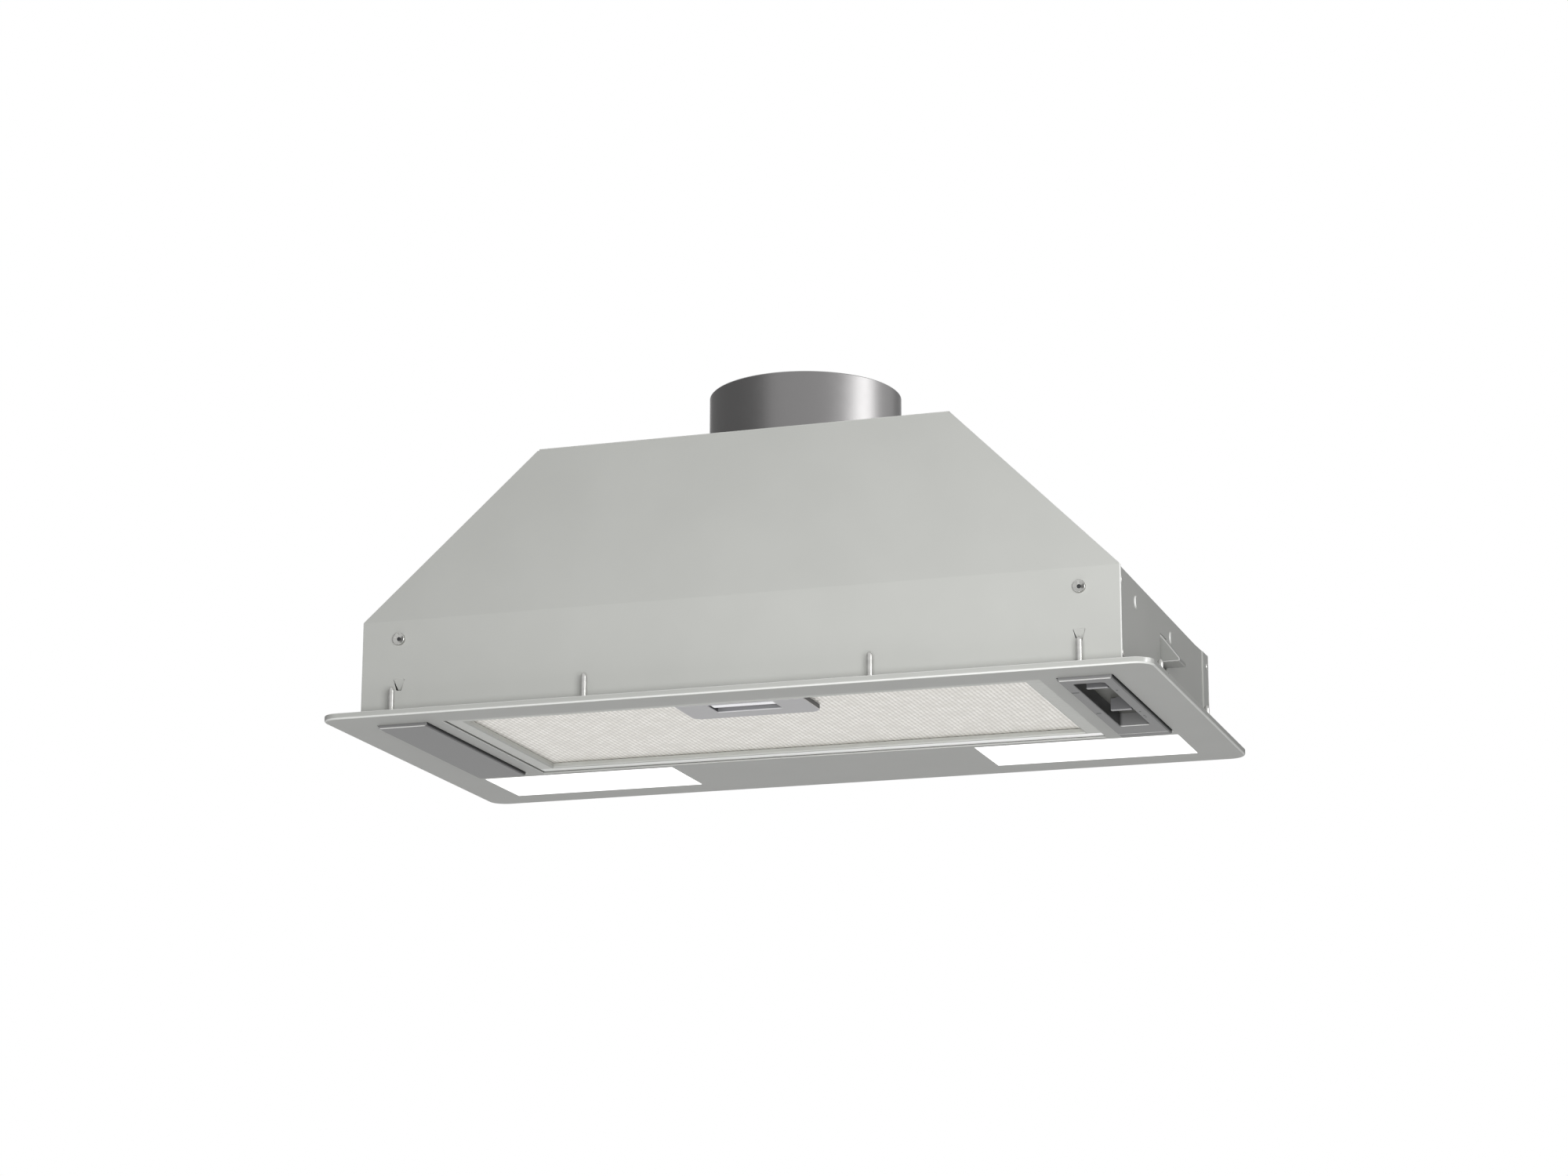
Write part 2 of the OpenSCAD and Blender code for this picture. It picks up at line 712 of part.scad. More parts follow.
module clip_screws() color("#4b4b4a") both_sides() clip_screw_place() rotate([0, 90, 0])
    pan_screw(clip_screw_r, clip_screw_len, clip_screw_head_r, clip_screw_head_t);

// Duct collar and non-return damper

module collar_screw_places()
    for (turn = [0, 180], a = [-collar_screw_angle, collar_screw_angle])
        translate([collar_screw_ring * cos(turn + a), collar_y + collar_screw_ring * sin(turn + a), 0])
            children();
module duct_collar() color("#8c8c8c") difference() {
    union() {
        translate([0, collar_y, body_h]) rotate_extrude($fn = 128) polygon(concat(
            [[bore_r, 0], [collar_flange_r, 0], [collar_flange_r, collar_flange_t],
             [collar_r + collar_lip_r, collar_flange_t], [collar_r, collar_flange_t + collar_lip_r]],
            [[collar_r, collar_h - collar_lip_r], [collar_r - collar_lip_r, collar_h], [bore_r, collar_h],
             [bore_r, ledge_z - body_h + ledge_t], [bore_r - ledge_w, ledge_z - body_h + ledge_t],
             [bore_r - ledge_w, ledge_z - body_h], [bore_r, ledge_z - body_h]]));
        for (turn = [0, 180]) translate([0, collar_y, flap_z]) rotate([0, 0, turn])
            rod_y(boss_r, bore_r - boss_len, bore_r + collar_wall / 2, 0, 0);
    }
    rod_y(pin_r + run_fit, collar_y - bore_r, collar_y + bore_r, 0, flap_z);
    collar_screw_places() rod_z(collar_screw_r + screw_fit, body_h - over, ledge_z + over, 0, 0);
}
module collar_screws() color("#c9c9c6") collar_screw_places() translate([0, 0, ledge_z])
    pan_screw(collar_screw_r, collar_flange_t + sheet_t + casing_flange_t + collar_screw_tip,
              collar_screw_head_r, collar_screw_head_t);
module damper_pin() color("#b0b0b0")
    rod_y(pin_r, collar_y - bore_r + gap, collar_y + bore_r - gap, 0, flap_z);
// The two flaps share the pin, with every second knuckle each
knuckle_span = 2 * (bore_r - boss_len - 2 * gap);
knuckle_len = knuckle_span / knuckle_count;
module damper_flap(first) {
    start = collar_y - knuckle_span / 2;
    difference() {
        union() {
            intersection() {
                rod_z(flap_r, flap_z - flap_t / 2, flap_z + flap_t / 2, 0, collar_y);
                block([knuckle_r + knuckle_gap, collar_y - flap_r, flap_z - flap_t],
                      [flap_r, collar_y + flap_r, flap_z + flap_t]);
            }
            for (i = [first:2:knuckle_count - 1]) {
                low = start + i * knuckle_len + knuckle_gap / 2;
                high = low + knuckle_len - knuckle_gap;
                rod_y(knuckle_r, low, high, 0, flap_z);
                block([0, low, flap_z - flap_t / 2],
                      [knuckle_r + 2 * knuckle_gap, high, flap_z + flap_t / 2]);
            }
        }
        rod_y(pin_r + run_fit, start - over, start + knuckle_span + over, 0, flap_z);
        both_sides() translate([0, collar_y, flap_z]) for (turn = [0, 180]) rotate([0, 0, turn])
            block([-boss_r - gap, bore_r - boss_len - gap, -flap_t], [boss_r + gap, bore_r, flap_t]);
    }
}
module damper_flap_right() color("#3f4041") damper_flap(0);
module damper_flap_left() color("#3f4041")
    translate([0, collar_y, 0]) rotate([0, 0, 180]) translate([0, -collar_y, 0]) damper_flap(0);

// Blower casing, in two halves that meet on the centre plane

function scroll_points(inset, top) = concat(
    [for (i = [0:scroll_steps])
        let (a = tongue_angle + (360 - tongue_angle) * i / scroll_steps,
             r = scroll_r0 + (scroll_r1 - scroll_r0) * (a - tongue_angle) / (360 - tongue_angle) - inset)
        [fan_y + r * cos(a), fan_z + r * sin(a)]],
    [[scroll_rear - inset, top], [outlet_front + inset, top]]);
function scroll_at(a) =
    scroll_r0 + (scroll_r1 - scroll_r0) * (a - tongue_angle) / (360 - tongue_angle);
module lug_places()
    for (a = lug_angles)
        let (r = scroll_at(a) + lug_screw_head_r + gap)
            translate([0, fan_y + r * cos(a), fan_z + r * sin(a)]) children();
module mount_places()
    for (a = mount_angles)
        translate([0, fan_y + mount_ring_r * cos(a), fan_z + mount_ring_r * sin(a)]) children();
module casing_half_shell(with_mounts) {
    difference() {
        union() {
            facing_x() linear_extrude(casing_half) polygon(scroll_points(0, roof_z));
            lug_places() rod_x(lug_r, 0, lug_len, 0, 0);
            block([0, outlet_front - casing_flange_d, roof_z - casing_flange_t],
                  [casing_flange_w, scroll_rear + casing_flange_d, roof_z]);
        }
        translate([-over, 0, 0]) facing_x() linear_extrude(casing_half - casing_wall + over)
            polygon(scroll_points(casing_wall, roof_z + over));
        rod_x(inlet_r, casing_half - casing_wall - over, casing_half + over, fan_y, fan_z);
        lug_places() rod_x(lug_screw_r + screw_fit, -over, lug_len + over, 0, 0);
        collar_screw_places()
            rod_z(collar_screw_r + screw_fit, roof_z - casing_flange_t - over, roof_z + over, 0, 0);
        if (with_mounts) mount_places()
            rod_x(motor_screw_r + screw_fit, casing_half - casing_wall - over, casing_half + over, 0, 0);
    }
}
module fan_casing_right() color("#4a4b4c") casing_half_shell(false);
module fan_casing_left() color("#4a4b4c") mirror([1, 0, 0]) casing_half_shell(true);
module casing_screws() color("#c9c9c6") lug_places()
    translate([lug_len, 0, 0]) rotate([0, 90, 0])
        pan_screw(lug_screw_r, 2 * lug_len, lug_screw_head_r, lug_screw_r);
module inlet_ring()
    translate([casing_half, fan_y, fan_z]) rotate([0, 90, 0]) rotate_extrude($fn = 96) polygon(concat(
        [[inlet_r - casing_wall, -casing_wall], [inlet_r - gap / 2, -casing_wall], [inlet_r - gap / 2, 0],
         [inlet_r + inlet_lip, 0], [inlet_r + inlet_lip, casing_wall]],
        [for (i = [1:arc_steps]) let (a = 90 * i / arc_steps)
            [inlet_r + inlet_lip - inlet_lip * sin(a), casing_wall + inlet_depth * (1 - cos(a)) * 0.4]],
        [[inlet_r - casing_wall, casing_wall]]));
module inlet_ring_right() color("#5a5b5c") inlet_ring();
module inlet_ring_left() color("#5a5b5c") mirror([1, 0, 0]) inlet_ring();

// Fan wheel with forward-curved blades, its shaft and the motor's armature

function blade_side(s, side) =
    let (r = wheel_r - gap - blade_depth * s,
         a = blade_turn * (1 - (1 - s) * (1 - s)) / 2 + side * blade_t / r * 180 / PI)
    [r * cos(a), r * sin(a)];
module blade()
    facing_x() linear_extrude(wheel_w - wheel_ring_t, center = true) polygon(concat(
        [for (i = [0:blade_steps]) blade_side(i / blade_steps, 0)],
        [for (i = [blade_steps:-1:0]) blade_side(i / blade_steps, 1)]));
module wheel_ring(x)
    difference() {
        rod_x(wheel_r, x - wheel_ring_t / 2, x + wheel_ring_t / 2, 0, 0);
        rod_x(wheel_r - blade_depth, x - wheel_ring_t, x + wheel_ring_t, 0, 0);
    }
module fan_wheel() color("#2f3032") translate([0, fan_y, fan_z]) {
    for (i = [0:blade_count - 1]) rotate([360 * i / blade_count, 0, 0]) blade();
    both_sides() wheel_ring(wheel_w / 2 - wheel_ring_t / 2);
    difference() {
        union() {
            rod_x(wheel_r, -hub_disc_t / 2, hub_disc_t / 2, 0, 0);
            rod_x(hub_r, -hub_disc_t / 2, hub_len, 0, 0);
        }
        rod_x(shaft_r, -hub_disc_t, hub_len + over, 0, 0);
    }
}
module fan_shaft() color("#b8b8b8")
    rod_x(shaft_r, motor_x0 + 2 * sheet_t, hub_len + 2 * sheet_t, fan_y, fan_z);
armature_r = stator_bore - armature_gap;
motor_mid = (motor_x0 + motor_x1) / 2;
module armature() color("#8d8f92") difference() {
    rod_x(armature_r, motor_mid - stator_len / 2, motor_mid + stator_len / 2, fan_y, fan_z);
    rod_x(shaft_r, motor_x0, motor_x1, fan_y, fan_z);
}

// Motor, hung in the left inlet on three rubber mounts

module motor_can() color("#a2a4a6") difference() {
    rod_x(motor_r, motor_x0, motor_x1, fan_y, fan_z);
    rod_x(motor_r - can_wall, motor_x0 + cap_t, motor_x1 - cap_t, fan_y, fan_z);
    rod_x(bearing_r, motor_x0 - over, motor_x1 + over, fan_y, fan_z);
}
module stator_core() color("#77797c") translate([motor_mid, fan_y, fan_z]) difference() {
    rod_x(motor_r - can_wall, -stator_len / 2, stator_len / 2, 0, 0);
    rod_x(stator_bore, -stator_len, stator_len, 0, 0);
    for (i = [0:stator_slots - 1]) rotate([360 * i / stator_slots, 0, 0])
        block([-stator_len, -slot_cut_w / 2, 0], [stator_len, slot_cut_w / 2, stator_bore + slot_cut_d]);
}
module motor_bearings() color("#b08d57") for (x = [motor_x0, motor_x1 - bearing_len]) difference() {
    rod_x(bearing_r, x, x + bearing_len, fan_y, fan_z);
    rod_x(shaft_r + run_fit, x - over, x + bearing_len + over, fan_y, fan_z);
}
mount_plate_x = motor_x0 - arm_t;
module motor_bracket() color("#9fa1a3") translate([mount_plate_x, fan_y, fan_z]) difference() {
    facing_x() linear_extrude(arm_t) {
        circle(motor_r - 2 * can_wall);
        for (a = mount_angles) rotate(a) {
            translate([0, -arm_w / 2]) square([mount_ring_r, arm_w]);
            translate([mount_ring_r, 0]) circle(mount_ear_r);
        }
    }
    rod_x(bearing_r + gap, -over, arm_t + over, 0, 0);
    for (a = mount_angles)
        rod_x(motor_screw_r + screw_fit, -over, arm_t + over, mount_ring_r * cos(a), mount_ring_r * sin(a));
}
module rubber_mounts() color("#1d1d1e") mount_places() difference() {
    rod_x(rubber_r, motor_x0, -casing_half, 0, 0);
    rod_x(motor_screw_r + screw_fit, motor_x0 - over, -casing_half + over, 0, 0);
}
module motor_screws() color("#c9c9c6") mount_places()
    translate([mount_plate_x, 0, 0]) rotate([0, -90, 0])
        pan_screw(motor_screw_r, -casing_half - mount_plate_x + 2 * casing_wall,
                  motor_screw_head_r, motor_screw_head_t);

// Electrical parts

capacitor_x = -side_x + sheet_t + capacitor_r + strap_t;
module capacitor() color("#e6e4dc") {
    rod_y(capacitor_r, capacitor_y - capacitor_len / 2, capacitor_y + capacitor_len / 2,
          capacitor_x, capacitor_z);
    for (z = [-capacitor_r / 3, capacitor_r / 3])
        rod_y(capacitor_r / 8, capacitor_y + capacitor_len / 2,
              capacitor_y + capacitor_len / 2 + 3 * strap_t, capacitor_x, capacitor_z + z);
}
module capacitor_clip() color("#b4b5b3") difference() {
    union() {
        rod_y(capacitor_r + strap_t, capacitor_y - strap_w / 2, capacitor_y + strap_w / 2,
              capacitor_x, capacitor_z);
        block([-side_x + sheet_t, capacitor_y - strap_w / 2, capacitor_z - capacitor_r - strap_ear],
              [-side_x + sheet_t + strap_t, capacitor_y + strap_w / 2,
               capacitor_z + capacitor_r + strap_ear]);
    }
    rod_y(capacitor_r + run_fit, capacitor_y - strap_w, capacitor_y + strap_w, capacitor_x, capacitor_z);
}
module led_driver() color("#dedfdc") {
    block([-driver_size[0] / 2, rear_y - sheet_t - driver_size[1], driver_z],
          [driver_size[0] / 2, rear_y - sheet_t, driver_z + driver_size[2]]);
    block([-driver_size[0] / 2 - strap_ear, rear_y - sheet_t - 2 * strap_t, driver_z],
          [driver_size[0] / 2 + strap_ear, rear_y - sheet_t, driver_z + strap_w]);
}
terminal_y0 = rear_y - sheet_t - terminal_size[1];
function gland_y() = rear_y - sheet_t - terminal_size[1] / 2;
module terminal_box() color("#38393b") difference() {
    block([terminal_x - terminal_size[0] / 2, terminal_y0, terminal_z],
          [terminal_x + terminal_size[0] / 2, rear_y - sheet_t, terminal_z + terminal_size[2]]);
    block([terminal_x - terminal_size[0] / 2 + terminal_wall, terminal_y0 - over,
           terminal_z + terminal_wall],
          [terminal_x + terminal_size[0] / 2 - terminal_wall, rear_y - sheet_t - terminal_wall,
           terminal_z + terminal_size[2] - terminal_wall]);
    rod_z(gland_bore_r, terminal_z + terminal_size[2] / 2, terminal_z + terminal_size[2] + over,
          terminal_x, gland_y());
}
module terminal_block() color("#d9d6c8") difference() {
    translate([terminal_x, rear_y - sheet_t - terminal_wall, terminal_z + terminal_wall]) {
        block([-block_size[0] / 2, -block_size[1], 0], [block_size[0] / 2, 0, block_size[2]]);
    }
    for (i = [-1:1]) {
        x = terminal_x + i * block_size[0] / 3;
        rod_z(block_hole_r, terminal_z + terminal_wall + block_size[2] / 2,
              terminal_z + terminal_wall + block_size[2] + over, x, gland_y() + block_size[1] / 2);
    }
}
module terminal_lid() color("#47484a")
    block([terminal_x - terminal_size[0] / 2, terminal_y0 - terminal_wall, terminal_z],
          [terminal_x + terminal_size[0] / 2, terminal_y0, terminal_z + terminal_size[2]]);
module cable_gland() color("#2a2b2c") translate([terminal_x, gland_y(), 0]) difference() {
    union() {
        translate([0, 0, body_h]) cylinder(r = gland_hex_r, h = gland_hex_t, $fn = 6);
        rod_z(gland_r, terminal_z + terminal_size[2], body_h, 0, 0);
        translate([0, 0, body_h + gland_hex_t])
            cylinder(r1 = gland_r, r2 = gland_r * 0.7, h = gland_dome_h);
        translate([0, 0, roof_z - gland_below / 2]) cylinder(r = gland_hex_r, h = gland_below / 2, $fn = 6);
    }
    rod_z(gland_bore_r, terminal_z, body_h + gland_hex_t + gland_dome_h + over, 0, 0);
}

// Control panel with its two sliders, and the blank panel on the other side

module panel_shell() {
    translate([0, (panel_y0 + panel_y1) / 2, 0]) {
        rounded_slab(panel_w - 2 * panel_round / 2, panel_d - 2 * panel_round / 2, panel_round,
                     -panel_proud, -panel_proud + panel_round / 2);
        rounded_slab(panel_w, panel_d, panel_round, -panel_proud + panel_round / 2, sheet_t);
        rounded_slab(panel_w + 2 * panel_flange, panel_d + 2 * panel_flange, panel_round,
                     sheet_t, sheet_t + panel_flange_t);
    }
}
module slot_cut(inset, low, high)
    translate([0, (slot_y0 + slot_y1) / 2, 0])
        rounded_slab(slot_w - 2 * inset, slot_len - 2 * inset, slot_r, low, high);
module control_bezel() color("#848484") translate([panel_x, 0, 0]) difference() {
    union() {
        panel_shell();
        slot_cut(-slot_wall, 0, track_z);
    }
    slot_cut(0, -panel_proud - over, track_z + over);
    block([-panel_w / 2 - over, panel_y1 - strip_d - strip_groove, -panel_proud - over],
          [panel_w / 2 + over, panel_y1 - strip_d, -panel_proud + strip_groove]);
}
module blank_panel() color("#848484") translate([-panel_x, 0, 0]) difference() {
    panel_shell();
    block([-panel_w / 2 + panel_skin, panel_y0 + panel_skin, -panel_proud + panel_skin],
          [panel_w / 2 - panel_skin, panel_y1 - panel_skin, sheet_t + panel_flange_t + over]);
}
light_y = slot_y0 + light_start;
fan_slider_y = slot_y0 + fan_start;
module stem_slot(y, travel)
    block([-stem_w / 2 - stem_play, y - stem_play, track_z - over],
          [stem_w / 2 + stem_play, y + fin_t + travel + stem_play, track_z + track_t + over]);
module slider_track() color("#6f6f6c") translate([panel_x, 0, 0]) difference() {
    block([-slot_w / 2 - slot_wall, slot_y0 - slot_wall, track_z],
          [slot_w / 2 + slot_wall, slot_y1 + slot_wall, track_z + track_t]);
    stem_slot(light_y, light_travel);
    stem_slot(fan_slider_y, fan_travel);
}
module slider(y) translate([panel_x, y, 0]) {
    block([fin_shift - fin_w / 2, 0, -panel_proud + fin_sink],
          [fin_shift + fin_w / 2, fin_t, track_z - gap]);
    block([-stem_w / 2, 0, track_z - gap], [stem_w / 2, fin_t, track_z + stem_h]);
    block([-shoe_w / 2, fin_t / 2 - shoe_d / 2, track_z + track_t + gap],
          [shoe_w / 2, fin_t / 2 + shoe_d / 2, track_z + track_t + gap + shoe_t]);
}
module light_slider() color("#63636a") slider(light_y);
module fan_speed_slider() color("#63636a") slider(fan_slider_y);
switch_z0 = track_z + track_t;
switch_z1 = switch_z0 + switch_h;
board_z = switch_z0 + gap + shoe_t + board_lift;
module switch_box() color("#3b3c3e") translate([panel_x, 0, 0]) difference() {
    block([-slot_w / 2 - slot_wall, slot_y0 - slot_wall, switch_z0],
          [slot_w / 2 + slot_wall, slot_y1 + slot_wall, switch_z1]);
    block([-slot_w / 2 + gap, slot_y0 + switch_wall, switch_z0 - over],
          [slot_w / 2 - gap, slot_y1 - switch_wall, switch_z1 - switch_wall]);
}
module circuit_board() color("#2f6b46") translate([panel_x, 0, 0]) {
    block([-slot_w / 2 + gap, slot_y0 + switch_wall, board_z],
          [slot_w / 2 - gap, slot_y1 - switch_wall, board_z + board_t]);
    for (y = [light_y + light_travel / 2, fan_slider_y + fan_travel / 2])
        block([-relay_size[0] / 2, y - relay_size[1] / 2, board_z - relay_size[2]],
              [relay_size[0] / 2, y + relay_size[1] / 2, board_z]);
}

// Lamps

module lamp_box() translate([lamp_x, lamp_y, 0]) difference() {
    w = lamp_w / 2 + lamp_flange + lamp_play + lamp_wall;
    d = lamp_d / 2 + lamp_flange + lamp_wall;
    block([-w, -d, sheet_t], [w, d, sheet_t + lamp_box_h]);
    block([-w + lamp_wall, -d + lamp_wall, sheet_t - over],
          [w - lamp_wall, d - lamp_wall, sheet_t + lamp_box_h - lamp_wall]);
}
module lamp_board() translate([lamp_x, lamp_y, sheet_t + lamp_box_h - lamp_wall]) {
    w = lamp_w - 2 * lamp_flange;
    d = lamp_d - 2 * lamp_flange;
    block([-w / 2, -d / 2, -lamp_board_t], [w / 2, d / 2, 0]);
    for (i = [0:chip_columns - 1])
        for (j = [0:chip_rows - 1])
            translate([w * ((i + 0.5) / chip_columns - 0.5), d * ((j + 0.5) / chip_rows - 0.5), 0])
                block([-chip_size / 2, -chip_size / 2, -lamp_board_t - chip_t],
                      [chip_size / 2, chip_size / 2, -lamp_board_t]);
}
module lamp_window() translate([lamp_x, lamp_y, 0]) {
    block([-lamp_w / 2 + lamp_play, -lamp_d / 2 + lamp_play, 0],
          [lamp_w / 2 - lamp_play, lamp_d / 2 - lamp_play, sheet_t]);
    block([-lamp_w / 2 - lamp_flange, -lamp_d / 2 - lamp_flange, sheet_t],
          [lamp_w / 2 + lamp_flange, lamp_d / 2 + lamp_flange, sheet_t + lamp_flange_t]);
}
module led_housing_right() color("#aeb0b2") lamp_box();
module led_housing_left() color("#aeb0b2") mirror([1, 0, 0]) lamp_box();
module led_boards() color("#f0efe8") both_sides() lamp_board();
module led_diffuser_right() color("#ffffff") lamp_window();
module led_diffuser_left() color("#ffffff") mirror([1, 0, 0]) lamp_window();

// Grease filter, which swings down on two pins at its rear

window_w = filter_w - 2 * filter_border;
window_y0 = filter_y0 + filter_border - front_border_less;
window_y1 = filter_y1 - filter_border;
module filter_frame() color("#b1b2ae") difference() {
    union() {
        difference() {
            block([-filter_w / 2, filter_y0, filter_z0], [filter_w / 2, filter_y1, filter_z1]);
            block([-window_w / 2, window_y0, filter_z0 - over],
                  [window_w / 2, window_y1, mesh_z0 + over]);
            block([-filter_w / 2 + top_lip_w, filter_y0 + top_lip_w, mesh_z0],
                  [filter_w / 2 - top_lip_w, filter_y1 - top_lip_w, filter_z1 + over]);
            difference() {
                block([-filter_w / 2 + frame_wall, filter_y0 + frame_wall, mesh_z0],
                      [filter_w / 2 - frame_wall, filter_y1 - frame_wall, mesh_z1]);
                both_sides()
                    block([filter_w / 2 - top_lip_w, filter_y1 - hinge_block, mesh_z0 - over],
                          [filter_w / 2, filter_y1, mesh_z1 + over]);
            }
        }
        both_sides() rod_x(hinge_pin_r, filter_w / 2 - top_lip_w / 2, filter_w / 2 + hinge_pin_out,
                           hinge_y, hinge_z);
    }
    block([-bolt_w / 2 - gap, filter_y0 - over, bolt_z0 - gap],
          [bolt_w / 2 + gap, latch_y0 + over, bolt_z0 + bolt_t + gap]);
}
module mesh_blank(low, high) difference() {
    block([-filter_w / 2 + frame_wall, filter_y0 + frame_wall, low],
          [filter_w / 2 - frame_wall, filter_y1 - frame_wall, high]);
    both_sides() block([filter_w / 2 - top_lip_w, filter_y1 - hinge_block, low - over],
                       [filter_w / 2, filter_y1, high + over]);
    block([-latch_w / 2, filter_y0, low - over], [latch_w / 2, latch_y1, high + over]);
}
module filter_mesh_lower() color("#d5d3cd") mesh_blank(mesh_z0, core_z0);
module filter_core() color("#c9c8c2") mesh_blank(core_z0, core_z1);
module filter_mesh_upper() color("#d5d3cd") mesh_blank(core_z1, mesh_z1);

// Spring latch in the filter's front edge

bolt_z0 = sheet_t + front_rail_h + bolt_lift;
latch_body_z0 = filter_z0 + latch_floor + gap;
latch_body_z1 = latch_z1 - latch_top - gap;
grip_y0 = latch_y0 + grip_slot_margin + 2 * gap;
module latch_housing() color("#a9a9ab") difference() {
    prism(filter_z0, latch_z1) polygon([
        [-latch_w / 2, latch_y0], [latch_w / 2, latch_y0], [latch_w / 2, latch_y1 - latch_chamfer],
        [latch_w / 2 - latch_chamfer, latch_y1], [-latch_w / 2 + latch_chamfer, latch_y1],
        [-latch_w / 2, latch_y1 - latch_chamfer]]);
    block([-grip_slot_w / 2, latch_y0 + grip_slot_margin, filter_z0 - over],
          [grip_slot_w / 2, latch_y0 + grip_slot_margin + grip_slot_d, latch_body_z0 + over]);
    block([-latch_body_w / 2 - gap, latch_y0 + latch_wall, latch_body_z0 - gap],
          [latch_body_w / 2 + gap, latch_y1 - latch_wall, latch_body_z1 + gap]);
    block([-bolt_w / 2 - gap, latch_y0 - over, bolt_z0 - gap],
          [bolt_w / 2 + gap, latch_y0 + latch_wall + over, bolt_z0 + bolt_t + gap]);
}
latch_body_y0 = latch_y0 + latch_wall + gap;
latch_body_y1 = latch_body_y0 + latch_body_d;
spring_z = (latch_body_z0 + latch_body_z1) / 2;
spring_y1 = latch_y1 - latch_wall;
module latch_bar() color("#c4c4c6") {
    block([-latch_body_w / 2, latch_body_y0, latch_body_z0],
          [latch_body_w / 2, latch_body_y1, latch_body_z1]);
    block([-bolt_w / 2, filter_y0 - bolt_reach, bolt_z0],
          [bolt_w / 2, latch_body_y0 + over, bolt_z0 + bolt_t]);
    block([-grip_w / 2, grip_y0 + grip_d / 4, filter_z0 + grip_sink],
          [grip_w / 2, grip_y0 + grip_d * 3 / 4, latch_body_z0 + over]);
    for (part = [1, 3])
        rod_x(grip_d / 4, -grip_w / 2, grip_w / 2, grip_y0 + grip_d * part / 4,
              filter_z0 + grip_sink + grip_d / 4);
}
// Springs behind the latch: one unbroken wire each, wound round an axis along Y
spring_sides = 6;
spring_rings = 10;
function spring_ring(turns, len) = [
    for (i = [0:round(turns * spring_rings)])
        let (a = 360 * i / spring_rings,
             rise = spring_wire / 2 + (len - spring_wire) * i / (turns * spring_rings))
        for (s = [0:spring_sides - 1])
            let (b = 360 * s / spring_sides, r = spring_r - spring_wire / 2 + spring_wire / 2 * cos(b))
            [r * cos(a), rise + spring_wire / 2 * sin(b), r * sin(a)]];
function tube_faces(rings, sides) = concat(
    [for (i = [0:rings - 2]) for (s = [0:sides - 1])
        let (n = (s + 1) % sides) each [
            [i * sides + s, i * sides + n, (i + 1) * sides + n],
            [i * sides + s, (i + 1) * sides + n, (i + 1) * sides + s]]],
    [for (s = [1:sides - 2]) [0, s + 1, s]],
    [for (s = [1:sides - 2]) [(rings - 1) * sides, (rings - 1) * sides + s, (rings - 1) * sides + s + 1]]);
spring_len = spring_y1 - latch_body_y1;
echo(spring_gap = spring_len / spring_turns - spring_wire);
module latch_springs() color("#9a9a9a") both_sides() translate([spring_x, latch_body_y1, spring_z])
    polyhedron(spring_ring(spring_turns, spring_len),
               tube_faces(round(spring_turns * spring_rings) + 1, spring_sides));

// Rails that guide the filter and carry its hinge pins and its latch bolt

module filter_rails() color("#a8a9a6") {
    both_sides() difference() {
        block([filter_open_w / 2 + rail_gap, filter_front - rail_gap, sheet_t],
              [filter_open_w / 2 + rail_gap + rail_t, filter_rear, rail_h]);
        rod_x(hinge_pin_r + run_fit, filter_open_w / 2, filter_open_w / 2 + 2 * rail_gap + rail_t,
              hinge_y, hinge_z);
    }
    block([-filter_open_w / 2 - rail_gap, filter_front - gap / 3 - front_rail_d, sheet_t],
          [filter_open_w / 2 + rail_gap, filter_front - gap / 3, sheet_t + front_rail_h]);
}

place() face_plate();
place() front_panel();
place() rear_panel();
place() side_panel_left();
place() side_panel_right();
place() top_panel();
place() corner_brackets();
place() front_screws();
place() body_rivets();
place() locating_pins();
place() duct_collar();
place() collar_screws();
place() damper_pin();
place() damper_flap_left();
place() damper_flap_right();
place() fan_casing_left();
place() fan_casing_right();
place() casing_screws();
place() inlet_ring_left();
place() inlet_ring_right();
place() fan_wheel();
place() fan_shaft();
place() armature();
place() motor_can();
place() stator_core();
place() motor_bearings();
place() motor_bracket();
place() rubber_mounts();
place() motor_screws();
place() capacitor();
place() capacitor_clip();
place() control_bezel();
place() slider_track();
place() light_slider();
place() fan_speed_slider();
place() switch_box();
place() circuit_board();
place() blank_panel();
place() led_housing_left();
place() led_housing_right();
place() led_boards();
place() led_diffuser_left();
place() led_diffuser_right();
place() led_driver();
place() terminal_box();
place() terminal_block();
place() terminal_lid();
place() cable_gland();
place() filter_frame();
place() filter_mesh_lower();
place() filter_core();
place() filter_mesh_upper();
place() latch_housing();
place() latch_bar();
place() latch_springs();
place() filter_rails();
place() side_clip_left();
place() side_clip_right();
place() clip_brackets();
place() clip_screws();
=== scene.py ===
import json
from math import cos, degrees, pi, radians, sin

import bmesh
import bpy
from mathutils import Matrix, Vector


